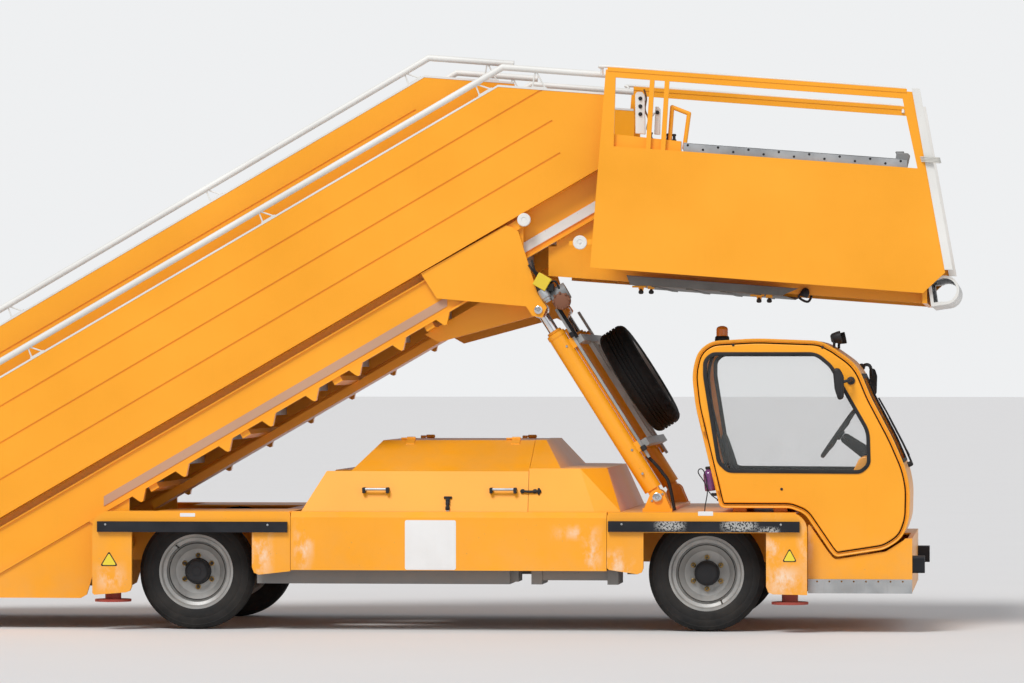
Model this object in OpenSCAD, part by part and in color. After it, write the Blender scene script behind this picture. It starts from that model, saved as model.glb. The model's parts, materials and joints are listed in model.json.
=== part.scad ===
/* [Vehicle] */
// Distance from the rear axle to the front axle
wheelbase = 3310; // [3200:10:3450]
// Height of the machine's main plates over the ground
deck_z = 770; // [765:5:785]
// Half of the width over the wheel arches
half_w = 1150; // [1140:5:1180]
// Lowest edge of the side panels over the ground
skirt_z = 394; // [380:2:410]
// Thickness of the sheet metal panels
panel_t = 30; // [20:1:34]

/* [Wheels] */
// Radius of the tyres
tyre_r = 374; // [360:1:376]
// Width of the tyres
tyre_w = 205; // [190:1:212]
// Radius of the steel rims
rim_r = 232; // [222:1:236]
// Radius of the black hub caps
cap_r = 78; // [70:1:84]
// Circle of the wheel studs
stud_circle = 102; // [96:1:108]

/* [Flights] */
// Slope of the stairs as parked
pitch = 30; // [29:0.5:31]
// Forward dip of the platform and the treads as parked
dip = 4.5; // [3:0.5:6]
// Distance between two steps along the slope
step_pitch = 327; // [315:1:340]
// Depth of one tread
tread_d = 290; // [270:1:300]
// Height of the outer wall, square to the slope
wall_h = 783; // [740:1:800]
// How far the inner wall stands above the outer one
inner_rise = 312; // [280:1:330]
// Height of the white handrails over the walls
rail_rise = 96; // [80:1:110]
// Radius of the white handrails
rail_r = 21; // [16:1:25]
// Half width over the outer walls
wall_y = 1015; // [1005:1:1025]
// Half width over the inner walls
inner_y = 850; // [835:1:855]

/* [Platform] */
// Rear edge of the platform guards
guard_x = 2600; // [2560:10:2640]
// Foremost edge of the platform guards at their foot
guard_nose_x = 4840; // [4800:10:4880]
// Height of the guard's closed panel
guard_h = 762; // [700:1:800]
// Half width over the guards
guard_y = 1140; // [1130:1:1150]
// Height of the top rail over the closed panel
guard_rail = 490; // [400:5:520]

/* [Cab] */
// Near face of the cab
cab_near = -1060; // [-1080:1:-1040]
// Width of the cab
cab_w = 1200; // [1150:10:1260]
// Thickness of the cab's walls and door
cab_t = 40; // [30:1:44]

/* [Hidden] */
// Wheel positions: name, x of the axle, side (-1 near, 1 far)
WHEELS = [["rear_near", 0, -1], ["rear_far", 0, 1], ["front_near", 1, -1], ["front_far", 1, 1]];

orange = "#f7a11b";
off_white = "#e6e4dc";
tin = "#a9abaa";
dark = "#1c1d1f";

gap = 5;      // running clearance
seat = 0.3;   // clearance of a piece resting on its seat

// A line parallel to the slope, at the distance w over the foot of the outer wall
ref_x = 700;
ref_z = 1865;
function slope_z(x, w) = ref_z + (x - ref_x) * tan(pitch) + w / cos(pitch);
function slope_x(z, w) = ref_x + (z - ref_z - w / cos(pitch)) / tan(pitch);
function along(x, w) = ((x - ref_x) + w * sin(pitch)) / cos(pitch);
function flat_z(x, x0, z0) = z0 - (x - x0) * tan(dip);

// Ends of the whole machine, which the origin is centred between
foot_x = -2560;
nose_x = guard_nose_x + 90;
mid_x = (foot_x + nose_x) / 2;

// Flights: the lower one rides on the tilting pivot, the upper one slides along the slope
flight_pivot = [-500, 640];
foot_z = 199;
outer_lo_x = -1950;
outer_hi_x = 2700;
outer_bend_x = 1971;
inner_hi_x = 2060;
inner_bend_x = 1474;
stringer_lo_x = -2120;
stringer_hi_x = 2130;
upper_nosing = -45;
lower_nosing = 158;
wall_t = 30;
outer_in_y = wall_y - wall_t;
upper_web_y = 900;
web_t = 20;
lower_web_y = 960;
lower_flange_w = -311;
upper_flange_w = -260;
tooth_w = -390;
inner_w = wall_h + inner_rise;

// Platform
floor_z0 = 2700;
floor_x0 = 2677;
floor_t = 60;
guard_top_z0 = floor_z0 + 414;
function floor_z(x) = flat_z(x, floor_x0, floor_z0);
function guard_top(x) = flat_z(x, 2716, guard_top_z0);

module slab(y0, y1) translate([0, y1, 0]) rotate([90, 0, 0]) linear_extrude(y1 - y0) children();
module pair() { children(); mirror([0, 1, 0]) children(); }
module place() translate([-mid_x, 0, 0]) children();
module on_slope() translate([ref_x, 0, ref_z]) rotate([0, -pitch, 0]) children();
module bar_y(x, z, r, y0, y1) translate([x, y0, z]) rotate([-90, 0, 0])
    cylinder(h = y1 - y0, r = r, $fn = 48);
module tube_y(x, z, r, bore, y0, y1) difference() {
    bar_y(x, z, r, y0, y1);
    bar_y(x, z, bore, y0 - 1, y1 + 1);
}
module rounded(points, r) offset(r = r, $fn = 24) offset(delta = -r) polygon(points);

// Wheels
axle_z = tyre_r;
tyre_out_y = half_w - 170;
tyre_mid_y = tyre_out_y - tyre_w / 2;
kingpin_y = tyre_out_y - 220;
hub_r = 95;
hub_back_y = tyre_out_y - 120;

module tyre_ring() {
    half = tyre_w / 2;
    shoulder = tyre_r - 22;
    groove_w = 9;
    grooves = [-0.6, -0.2, 0.2, 0.6];
    rotate([90, 0, 0]) difference() {
        rotate_extrude($fn = 72) polygon([
            [rim_r + seat, -half + 33], [rim_r + 13, -half + 23], [rim_r + 14, -half + 10],
                [rim_r + 24, -half + 5],
            [rim_r + 70, -half], [shoulder - 14, -half + 8],
            [shoulder + 8, -half + 20], [tyre_r, -half + 42], [tyre_r, half - 42],
                [shoulder + 8, half - 20],
            [shoulder - 14, half - 8], [rim_r + 70, half], [rim_r + 24, half - 5], [rim_r + 14, half - 10],
            [rim_r + 13, half - 23], [rim_r + seat, half - 33]]);
        for (g = grooves)
            rotate_extrude($fn = 72) translate([tyre_r - 9, g * (half - 42) - groove_w / 2])
                square([20, groove_w]);
    }
}

// A steel disc wheel with its outer face towards -y
module disc_wheel() {
    half = tyre_w / 2;
    well = rim_r - 26;
    difference() {
        rotate([90, 0, 0]) rotate_extrude($fn = 72) polygon([
            [0, half - 100], [hub_r, half - 100], [hub_r + 10, half - 100], [hub_r + 50, half - 92],
            [hub_r + 84, half - 62], [well - 12, half - 66], [well - 8, half - 40], [rim_r - 14, half - 30],
            [rim_r - 4, half - 10], [rim_r + 12, half - 10], [rim_r + 12, half - 22], [rim_r, half - 32],
            [rim_r, 32 - half], [rim_r + 12, 22 - half], [rim_r + 12, 10 - half], [rim_r - 10, 10 - half],
            [well - 4, 36 - half], [well - 8, half - 112], [hub_r + 20, half - 120], [0, half - 120]]);
        for (i = [0:5]) rotate([0, i * 60 + 30, 0]) translate([stud_circle, 0, 0])
            rotate([90, 0, 0]) cylinder(h = tyre_w, r = 11, center = true, $fn = 24);
    }
    rotate([90, 0, 0]) rotate_extrude($fn = 48) polygon([[0, half - 101], [cap_r, half - 101],
        [cap_r, half - 60], [cap_r - 10, half - 46], [cap_r - 34, half - 36], [0, half - 33]]);
}

module at_wheel(w) translate([w[1] * wheelbase, w[2] * tyre_mid_y, axle_z])
    mirror([0, w[2] > 0 ? 1 : 0, 0]) children();
module tyre(w) color(dark) place() at_wheel(w) tyre_ring();
module rim(w) color(tin) place() at_wheel(w) disc_wheel();

// Chassis: two rails, cross members, outriggers and the lugs of the stairs' pivot
rail_y = 400;
rail_w = 90;
rail_lo_z = 430;
rail_hi_z = 620;
rail_end_x = wheelbase + 715;
rail_low_z = 470;
rear_end_x = -640;
front_end_x = wheelbase + 1250;
sheet = 10;
lug_y = [[905, 935], [965, 995]];
pivot_pin_r = 30;
leg_foot = [2992, 861];
leg_top = [2231, 2067];
leg_y = 850;
leg_pin_r = 32;
jack_y = half_w - 120;
jack_x = [-533, wheelbase + 539];
jack_r = 52;
jack_tube_r = 62;
arch_half = 392;

module lug(x, z, r, base_z, base_half) {
    translate([x, z]) circle(r = r, $fn = 48);
    polygon([[x - base_half, base_z], [x + base_half, base_z], [x + r * 0.93, z + r * 0.3],
        [x - r * 0.93, z + r * 0.3]]);
}

module chassis_frame() color(orange) place() difference() {
    union() {
        pair() translate([rear_end_x, rail_y - rail_w / 2, rail_lo_z])
            cube([rail_end_x - rear_end_x, rail_w, rail_hi_z - rail_lo_z]);
        // under the cab the rails go on as low bars
        pair() translate([rail_end_x - 1, rail_y - rail_w / 2, rail_lo_z])
            cube([front_end_x - rail_end_x + 1, rail_w, rail_low_z - rail_lo_z]);
        for (x = [rear_end_x, 560, 1300, 2040, 2740, 3940])
            translate([x, -rail_y, rail_lo_z + 30]) cube([80, 2 * rail_y, 120]);
        for (x = [front_end_x - 280, front_end_x - 80])
            translate([x, -rail_y, rail_lo_z]) cube([80, 2 * rail_y, rail_low_z - rail_lo_z]);
        // outriggers that carry the pivot, the jacks and the side panels
        pair() for (x = [jack_x[0] - 40, 620, wheelbase - 710, jack_x[1] - 40])
            translate([x, rail_y, rail_lo_z + 90]) cube([80, jack_y - rail_y, 60]);
        pair() for (x = jack_x) translate([x, jack_y, 262])
            cylinder(h = rail_hi_z - 262, r = jack_tube_r, $fn = 48);
        // stairs' pivot lugs
        pair() for (y = lug_y) slab(y[0], y[1])
            lug(flight_pivot[0], flight_pivot[1], 58, rail_lo_z + 95, 75);
        pair() slab(jack_y - 140, jack_y - 30) translate([flight_pivot[0] - 75, rail_lo_z + 90])
            square([150, 40]);
        pair() bar_y(flight_pivot[0], flight_pivot[1], pivot_pin_r - seat, lug_y[0][0] - 10,
            lug_y[1][1] + 8);
    }
    // bores of the jack tubes
    pair() for (x = jack_x) translate([x, jack_y, 250])
        cylinder(h = 340, r = jack_r + 1, $fn = 48);
}

// Deck sheets on posts over the rails, and the clevises of the lift cylinders on a beam across them
module deck_plates() color(orange) place() {
    for (sheet_x = [[520, fender_split_x], [front_split_x + 2, fender_front_x - 73]])
        translate([sheet_x[0], -half_w + panel_t + seat, deck_z - sheet])
            cube([sheet_x[1] - sheet_x[0], 2 * (half_w - panel_t - seat), sheet]);
    translate([fender_front_x - 74, cab_far_y + 30, deck_z - sheet])
        cube([61, half_w - panel_t - seat - cab_far_y - 30, sheet]);
    pair() for (x = [570, 2690, 3000, 3700])
        translate([x, rail_y - 40, rail_hi_z + seat]) cube([60, 60, deck_z - sheet - rail_hi_z + 1]);
    translate([leg_foot[0] - 95, -leg_y - 85, deck_z - 1]) cube([190, 2 * leg_y + 170, 21]);
    pair() for (y = [[leg_y - 85, leg_y - 55], [leg_y + 55, leg_y + 85]]) slab(y[0], y[1])
        lug(leg_foot[0], leg_foot[1], 52, deck_z - 2, 95);
    pair() bar_y(leg_foot[0], leg_foot[1], leg_pin_r - seat, leg_y - 95, leg_y + 95);
}

// Wheel arches, outer skin with a return along the top
fender_rear_x = -649;
fender_split_x = 640;
front_split_x = wheelbase - 626;
fender_front_x = wheelbase + 653;
arch_top_z = 640;
module fender_skin(x0, x1, cx, z_rear, z_front, corner_rear, corner_front) {
    difference() {
        union() {
            hull() {
                translate([x0 + corner_rear, deck_z - corner_rear]) circle(r = corner_rear, $fn = 48);
                translate([x1 - corner_front, deck_z - corner_front]) circle(r = corner_front, $fn = 48);
                translate([x0, 600]) square([x1 - x0, 1]);
            }
            polygon([[x0, 601], [x0, z_rear[0] + 12], [x0 + 12, z_rear[0]],
                [cx - arch_half - 40, z_rear[1]],
                [cx - arch_half - 12, z_rear[1] + 10], [cx - arch_half, z_rear[1] + 38],
                [cx - arch_half, 601]]);
            polygon([[x1, 601], [x1, z_front[1]], [cx + arch_half + 45, z_front[0]],
                [cx + arch_half + 14, z_front[0] + 12], [cx + arch_half, z_front[0] + 48],
                [cx + arch_half, 601]]);
        }
        intersection() {
            translate([cx, arch_top_z - 90]) offset(r = 90, $fn = 32)
                square([2 * arch_half - 180, 200], center = true);
            translate([cx - arch_half, 0]) square([2 * arch_half, arch_top_z]);
        }
        translate([cx - arch_half, 0]) square([2 * arch_half, 560]);
    }
}
module fenders() color(orange) place() pair() {
    slab(half_w - panel_t, half_w)
        fender_skin(fender_rear_x, fender_split_x, 0, [229, 245], [363, 386], 112, 20);
    slab(half_w - panel_t, half_w)
        fender_skin(front_split_x, fender_front_x, wheelbase, [402, 375], [250, 246], 30, 112);
    // top sheets: full depth over the wheels, a narrow return beside the stairs
    translate([fender_rear_x + 130, wall_y + 8, deck_z - sheet])
        cube([arch_half - 130, half_w - panel_t - wall_y - 8, sheet]);
    translate([-arch_half + 145, rail_y + 60, deck_z - sheet])
        cube([fender_split_x + arch_half - 265, half_w - panel_t - rail_y - 60, sheet]);
    // inner arch walls that hold the skins to the outriggers
    for (x = [fender_rear_x + 20, arch_half + 20, wheelbase - arch_half - 60, wheelbase + arch_half + 30])
        translate([x, jack_y + 20, 420])
            cube([30, half_w - panel_t - jack_y - 20, deck_z - sheet - 420 - 150]);
}

// Panels between the arches, with a chamfered upper edge
chamfer_z = 37;
module side_panels() color(orange) place() pair() {
    rotate([90, 0, 90]) translate([0, 0, fender_split_x + 3])
        linear_extrude(front_split_x - fender_split_x - 6)
        polygon([[half_w, skirt_z], [half_w, deck_z - chamfer_z], [half_w - chamfer_z, deck_z],
            [half_w - chamfer_z - 90, deck_z], [half_w - chamfer_z - 90, deck_z - 12],
            [half_w - panel_t - 12, deck_z - 12], [half_w - panel_t, deck_z - chamfer_z - 12],
            [half_w - panel_t, skirt_z + 16], [half_w - panel_t - 60, skirt_z + 16],
            [half_w - panel_t - 60, skirt_z]]);
    for (x = [620, wheelbase - 710]) translate([x + 24, jack_y + seat, rail_lo_z + 100])
        cube([56, half_w - panel_t - jack_y - seat, 60]);
}

// Black rubber strips on the arches and the buffers on the nose
module rub_strips() color(dark) place() pair() {
    translate([-614, half_w, 636]) cube([1237, 26, 68]);
    translate([wheelbase - 617, half_w, 646]) cube([1223, 26, 68]);
    translate([apron_x + seat, 880, 384]) rotate([0, 90, 0]) mirror([1, 0, 0])
        linear_extrude(78) offset(r = 16, $fn = 24) translate([16, 16]) square([76, 118]);
}

// Engine cover: profile of the near face from rear to front, mirrored for the far side
hood_y = 1085;
hood_ridge_y = 560;
knee_z = 1028;
ridge_z = 1222;
hood_seam_x = 2172;
knee_y = 1000;
shell_t = 24;

module hood_side_mask() polygon([[703, deck_z], [858, knee_z], [1016, knee_z + 1], [1175, ridge_z + 2],
    [hood_seam_x - 3, ridge_z + 2], [hood_seam_x - 3, deck_z]]);
module lid_skin() intersection() {
    translate([700, 0, 0]) rotate([90, 0, 90]) linear_extrude(1500) polygon([
        [hood_y, deck_z + seat], [knee_y, knee_z], [hood_ridge_y, ridge_z],
        [hood_ridge_y, ridge_z - shell_t],
        [knee_y - shell_t, knee_z - 8], [hood_y - shell_t - 6, deck_z + seat]]);
    slab(400, 1200) hood_side_mask();
}
// Lid hinges: pins on the ridge, eyes on the lids
lid_pin_r = 5.5;
lid_eye_r = 11;
lid_axis = [hood_ridge_y - 2, ridge_z + lid_eye_r + 1];
module at_lid_hinges() for (x = [1290, 1980]) translate([x, lid_axis[0], lid_axis[1]]) rotate([90, 0, 90])
    children();
module lid_eyes() at_lid_hinges() translate([0, 0, 38]) linear_extrude(54) difference() {
    union() {
        circle(r = lid_eye_r, $fn = 48);
        polygon([[-2, -lid_eye_r + 2], [3, -lid_eye_r - 3], [60, -39.5], [60, -30], [lid_eye_r - 3, -4]]);
    }
    circle(r = lid_pin_r + seat, $fn = 48);
}
module lid_pins() at_lid_hinges() {
    cylinder(h = 96, r = lid_pin_r, $fn = 48);
    translate([-22, -lid_eye_r - 2, 0]) cube([21, lid_eye_r + 6, 34]);
}
module lid() {
    lid_skin();
    lid_eyes();
}
module engine_lid_far() color(orange) place() lid();
module engine_lid_near() color(orange) place() mirror([0, 1, 0]) lid();

module engine_hood_front() color(orange) place() {
    // rear end plates and the fixed ridge between the lids
    translate([0, -hood_ridge_y + 4, 0]) rotate([90, 0, 0]) mirror([0, 0, 1])
        linear_extrude(2 * hood_ridge_y - 8) polygon([
            [1175, ridge_z], [hood_seam_x + 1, ridge_z], [hood_seam_x + 1, ridge_z - shell_t],
            [1190, ridge_z - shell_t], [1030, knee_z - 20], [868, knee_z - 20], [732, deck_z + seat],
            [703, deck_z + seat], [858, knee_z], [1016, knee_z + 1]]);
    pair() lid_pins();
    difference() {
        union() {
            // front shelf and the tall part behind it
            hull() pair() {
                translate([hood_seam_x, 0, deck_z + seat]) cube([2765 - hood_seam_x, hood_y - 30, 1]);
                translate([hood_seam_x, 0, deck_z + seat]) cube([2600 - hood_seam_x, hood_y, 1]);
                translate([hood_seam_x, 0, knee_z + 18]) cube([2500 - hood_seam_x, knee_y, 1]);
                translate([hood_seam_x, 0, knee_z + 18]) cube([2660 - hood_seam_x, knee_y - 190, 1]);
            }
            hull() pair() {
                translate([hood_seam_x, 0, knee_z]) cube([2385 - hood_seam_x, knee_y, 1]);
                translate([hood_seam_x, 0, ridge_z]) cube([2243 - hood_seam_x, hood_ridge_y, 2]);
            }
        }
        hull() pair() {
            translate([hood_seam_x - 1, 0, deck_z - 1]) cube([2540 - hood_seam_x, hood_y - 30, 1]);
            translate([hood_seam_x - 1, 0, knee_z - 8]) cube([2460 - hood_seam_x, knee_y - 40, 1]);
        }
        hull() pair() {
            translate([hood_seam_x - 1, 0, knee_z - 30]) cube([2350 - hood_seam_x, knee_y - 40, 1]);
            translate([hood_seam_x - 1, 0, ridge_z - shell_t])
                cube([2225 - hood_seam_x, hood_ridge_y - 20, 1]);
        }
    }
}

module engine_and_tanks() color("#6d6f70") place() {
    // engine and gearbox as one mass, on a plate across the rails
    translate([1390, -330, rail_lo_z + 40]) cube([640, 660, rail_hi_z - rail_lo_z]);
    translate([1250, -330, rail_hi_z + seat]) cube([820, 660, 480]);
    translate([1500, -rail_y - 40, rail_hi_z + seat]) cube([400, 2 * rail_y + 80, 20]);
    pair() {
        // long tank under the sill
        translate([410, 620, 303]) cube([wheelbase - 1670, 420, 88]);
        translate([wheelbase - 1261, 740, 318]) cube([53, 260, 72]);
        translate([630, 640, 390]) cube([60, 120, rail_lo_z + 90 - 390 - seat]);
        // battery tray between its two brackets
        translate([wheelbase - 1050, 660, 330]) cube([420, 380, 60]);
        for (x = [-1120, -630]) translate([wheelbase + x, 650, 303]) cube([70, 400, 92]);
        translate([wheelbase - 700, 680, 390]) cube([60, 120, rail_lo_z + 90 - 390 - seat]);
    }
}

// Cab: side profile from the rear sill round the roof to the nose
cab_far_y = cab_near + cab_w;
ring_t = 28;
function ahead(list) = [for (p = list) [p[0] + wheelbase, p[1]]];
CAB_PROFILE = ahead([[92, 797], [-64, 1446], [-88, 1660], [-50, 1800], [35, 1866], [327, 1883],
    [730, 1868], [820, 1820], [972, 1713], [1056, 1509], [1197, 1242], [1280, 1050], [1306, 920],
    [1301, 730], [1259, 607], [1145, 535], [829, 485], [792, 530], [634, 761], [542, 797]]);
WINDOW = ahead([[143, 1032], [82, 1090], [-6, 1640], [-6, 1740], [42, 1785], [710, 1785], [802, 1708],
    [951, 1446], [1040, 1290], [1046, 1075], [991, 1027]]);
cab_split_z = 1060;
cab_screen_x = wheelbase + 840;
cab_rear_x = wheelbase - 160;
apron_x = wheelbase + 1319;
apron_top_z = 605;
apron_lo_z = 344;
strip_lo_z = 254;
apron_y = half_w - 110;

module cab_outline(inset) offset(r = 30, $fn = 24) offset(delta = -30 - inset) polygon(CAB_PROFILE);
module cab_band(y0, y1, z0, z1) intersection() {
    difference() {
        slab(y0, y1) cab_outline(0);
        slab(y0 - 1, y1 + 1) cab_outline(ring_t);
    }
    translate([wheelbase - 310, y0, z0]) cube([2000, y1 - y0, z1 - z0]);
}
module window_hole(inset) offset(r = 26, $fn = 24) offset(delta = -26 - inset) polygon(WINDOW);

hinge_s = [110, 500];
module cab_shell() color(orange) place() difference() {
    union() {
        cab_band(cab_near, cab_far_y, cab_split_z, 2000);
        on_hinge(hinge_s[1]) hinge_pin();
    }
    // windscreen and rear window
    translate([cab_screen_x, cab_near + 75, 1100]) cube([500, cab_w - 150, 560]);
    translate([cab_rear_x, cab_near + 130, 1180]) cube([200, cab_w - 260, 480]);
}
module cab_base() color(orange) place() {
    cab_band(cab_near, cab_far_y, 400, cab_split_z - seat);
    // floor of the foot well
    translate([wheelbase + 570, cab_near + cab_t + 12, 800]) cube([60, cab_w - 2 * cab_t - 24, 20]);
    on_hinge(hinge_s[0]) hinge_pin();
    // feet that carry the cab on the deck and on the apron
    for (foot = [[cab_near + 90, 440 + seat], [cab_far_y - 170, rail_low_z + seat]]) {
        for (x = [170, 430]) translate([wheelbase + x, foot[0], deck_z + seat])
            cube([90, 80, 797 - deck_z + 8]);
        translate([wheelbase + 970, foot[0], foot[1]]) cube([78, 80, 522 - foot[1]]);
    }
}
hinge_in = ring_t / 2;
hinge_y = cab_near - 18;
hinge_lean = atan2(CAB_PROFILE[0][0] - CAB_PROFILE[1][0], CAB_PROFILE[1][1] - CAB_PROFILE[0][1]);
hinge_pin_r = 7;
module on_hinge(s) translate([CAB_PROFILE[0][0], hinge_y, CAB_PROFILE[0][1]]) rotate([0, -hinge_lean, 0])
    translate([hinge_in, 0, s]) children();
module hinge_pin() {
    cylinder(h = 96, r = hinge_pin_r, $fn = 48);
    translate([-9, -2, 0]) cube([18, cab_near - hinge_y + 3, 34]);
}
module hinge_eye() translate([0, 0, 38]) difference() {
    union() {
        cylinder(h = 54, r = 13, $fn = 48);
        translate([4, -8, 0]) cube([60, 14, 54]);
        translate([30, -8, 0]) cube([34, cab_near - hinge_y + 9, 54]);
    }
    translate([0, 0, -1]) cylinder(h = 56, r = hinge_pin_r + seat, $fn = 48);
}
module cab_side_far() color(orange) place() slab(cab_far_y - cab_t, cab_far_y) difference() {
    cab_outline(ring_t + seat);
    window_hole(0);
}
module cab_door_near() color(orange) place() {
    for (s = hinge_s) on_hinge(s) hinge_eye();
    slab(cab_near, cab_near + cab_t) difference() {
        cab_outline(ring_t + gap);
        window_hole(0);
    }
    // mirror on its arm
    hull() {
        translate([wheelbase + 930, cab_near - 20, 1612]) sphere(r = 14, $fn = 16);
        translate([wheelbase + 915, cab_near - 90, 1610]) sphere(r = 13, $fn = 16);
    }
    hull() {
        translate([wheelbase + 915, cab_near - 90, 1610]) sphere(r = 13, $fn = 16);
        translate([wheelbase + 860, cab_near - 90, 1600]) sphere(r = 13, $fn = 16);
    }
    translate([wheelbase + 930, cab_near - 20, 1612]) rotate([-90, 0, 0]) cylinder(h = 22, r = 16, $fn = 32);
    slab(cab_near - 112, cab_near - 78) offset(r = 20, $fn = 16)
        polygon(ahead([[816, 1690], [860, 1692], [886, 1640], [886, 1500], [850, 1488], [830, 1560]]));
}
glass_t = 6;
module cab_glass() color([0.5, 0.55, 0.55, 0.4]) place() {
    // far window, windscreen and rear window
    slab(cab_far_y - cab_t / 2 - glass_t, cab_far_y - cab_t / 2) window_hole(seat);
    intersection() {
        difference() {
            slab(cab_near + 75 + seat, cab_far_y - 75 - seat) cab_outline(10);
            slab(cab_near, cab_far_y) cab_outline(10 + glass_t);
        }
        union() {
            translate([cab_screen_x, cab_near + 75 + seat, 1100 + seat])
                cube([500, cab_w - 150 - 2 * seat, 560 - 2 * seat]);
            translate([cab_rear_x, cab_near + 130 + seat, 1180 + seat])
                cube([200, cab_w - 260 - 2 * seat, 480 - 2 * seat]);
        }
    }
}
module cab_door_glass() color([0.5, 0.55, 0.55, 0.4]) place()
    slab(cab_near + cab_t / 2 - glass_t, cab_near + cab_t / 2) window_hole(seat);

cab_mid_y = (cab_near + cab_far_y) / 2;
wheel_c = [wheelbase + 830, 1268];
module cab_interior() color(dark) place() {
    // seat
    translate([wheelbase + 190, cab_mid_y - 230, 825 + seat]) cube([430, 460, 61]);
    hull() for (x = [180, 590]) bar_y(wheelbase + x, 940, 55, cab_mid_y - 230, cab_mid_y + 230);
    hull() {
        bar_y(wheelbase + 160, 1010, 45, cab_mid_y - 210, cab_mid_y + 210);
        bar_y(wheelbase + 85, 1330, 38, cab_mid_y - 190, cab_mid_y + 190);
    }
    // dash with the steering column
    slab(cab_near + cab_t + 12, cab_far_y - cab_t - seat)
        polygon(ahead([[920, 1000], [990, 1130], [1110, 1130], [1170, 1010], [1170, 820], [950, 820]]));
    translate([wheel_c[0], cab_mid_y, wheel_c[1]]) rotate([0, 125, 0]) cylinder(h = 270, r = 26, $fn = 32);
    translate([wheel_c[0], cab_mid_y, wheel_c[1]]) rotate([0, -55, 0]) rotate_extrude($fn = 48)
        translate([180, 0]) circle(r = 15, $fn = 16);
    translate([wheel_c[0], cab_mid_y, wheel_c[1]]) rotate([0, -55, 0]) for (a = [30, 150, 270])
        rotate([0, 0, a])
        translate([0, -14, -6]) cube([176, 28, 12]);
}
module cab_fittings() color(dark) place() {
    // amber beacon on its foot, square to the roof
    translate([CAB_PROFILE[4][0], cab_mid_y, CAB_PROFILE[4][1]])
        rotate([0, -atan2(CAB_PROFILE[5][1] - CAB_PROFILE[4][1], CAB_PROFILE[5][0] - CAB_PROFILE[4][0]), 0])
            translate([38, 0, seat]) {
                cylinder(h = 34, r = 48, $fn = 48);
                cylinder(h = 100, r = 41, $fn = 48);
            }
    // work lamp over the windscreen
    for (y = [cab_near + 150, cab_far_y - 150]) {
        translate([wheelbase + 818, y, 1826.3]) cylinder(h = 34, r = 9, $fn = 24);
        translate([wheelbase + 810, y, 1884]) rotate([0, 78, 0]) cylinder(h = 58, r = 38, $fn = 48);
    }
    // far mirror on its arm
    hull() {
        translate([wheelbase + 960, cab_far_y + 13 + seat, 1700]) sphere(r = 13, $fn = 16);
        translate([wheelbase + 1020, cab_far_y + 110, 1700]) sphere(r = 13, $fn = 16);
    }
    hull() {
        translate([wheelbase + 1020, cab_far_y + 110, 1700]) sphere(r = 13, $fn = 16);
        translate([wheelbase + 1032, cab_far_y + 140, 1620]) sphere(r = 13, $fn = 16);
    }
    slab(cab_far_y + 128, cab_far_y + 168) offset(r = 20, $fn = 16)
        polygon(ahead([[1008, 1690], [1046, 1692], [1060, 1640], [1056, 1520], [1026, 1508], [1012, 1560]]));
    // wiper
    translate([wheelbase + 1308, cab_mid_y + 30, 1060]) rotate([0, -28, 0]) cylinder(h = 470, r = 8, $fn = 24);
    translate([wheelbase + 1273.1, cab_mid_y + 30, 1066]) rotate([0, 66.6, 0]) translate([0, 0, seat])
        cylinder(h = 38, r = 18, $fn = 32);
}

// Nose of the chassis under the cab, with a grey step strip along its foot
module front_apron() color(orange) place() difference() {
    union() {
        for (y = [[-apron_y, -apron_y + panel_t], [apron_y - panel_t, apron_y]]) slab(y[0], y[1])
            polygon([[fender_front_x + 2, strip_lo_z + 6], [apron_x, strip_lo_z + 6], [apron_x, apron_top_z],
                [wheelbase + 730, apron_top_z], [wheelbase + 710, 690], [fender_front_x + 2, 690]]);
        translate([apron_x - panel_t, -apron_y, strip_lo_z + 6])
            cube([panel_t, 2 * apron_y, apron_top_z - strip_lo_z - 6]);
        // shelf over the rails, under the cab and beside it
        translate([front_end_x + seat, -apron_y, 400]) cube([apron_x - front_end_x - 1, 2 * apron_y, 40]);
        translate([fender_front_x + 64, cab_far_y + 30, apron_top_z - 12])
            cube([apron_x - fender_front_x - 64, apron_y - cab_far_y - 30, 12]);
        pair() translate([wheelbase + 870, rail_y + rail_w / 2 + seat, 440 - 12])
            cube([apron_x - wheelbase - 870, apron_y - rail_y - rail_w / 2 - seat, 12]);
    }
    slab(cab_near - 50, cab_far_y + 14) cab_outline(-14);
}
module step_strip() color(tin) place() pair() slab(apron_y, apron_y + 14) difference() {
    polygon([[fender_front_x + 2, strip_lo_z], [apron_x, strip_lo_z], [apron_x, apron_lo_z],
        [fender_front_x + 2, apron_lo_z]]);
    for (i = [0:7]) translate([fender_front_x + 60 + i * 78, apron_lo_z - 14]) circle(r = 6, $fn = 16);
}

// Running gear
module axle_beams() color("#3a3b3c") place() {
    bar_y(0, axle_z, 54, -hub_back_y + seat, hub_back_y - seat);
    bar_y(0, axle_z, 150, -110, 110);
    pair() translate([-80, rail_y - 35, axle_z]) cube([160, 70, rail_lo_z - axle_z - seat]);
    translate([wheelbase - 50, -kingpin_y + 60, axle_z - 45]) cube([100, 2 * kingpin_y - 120, 90]);
    pair() translate([wheelbase - 80, rail_y - 35, axle_z + 40])
        cube([160, 70, rail_lo_z - axle_z - 40 - seat]);
    // forks of the kingpins
    pair() translate([wheelbase, kingpin_y, axle_z]) {
        for (z = [-75, 45]) translate([0, 0, z]) {
            cylinder(h = 30, r = 44, $fn = 48);
            translate([-40, -90, 0]) cube([80, 90, 30]);
        }
        translate([-40, -90, -75]) cube([80, 40, 150]);
        translate([0, 0, -88]) cylinder(h = 176, r = 17, $fn = 48);
    }
}
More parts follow.
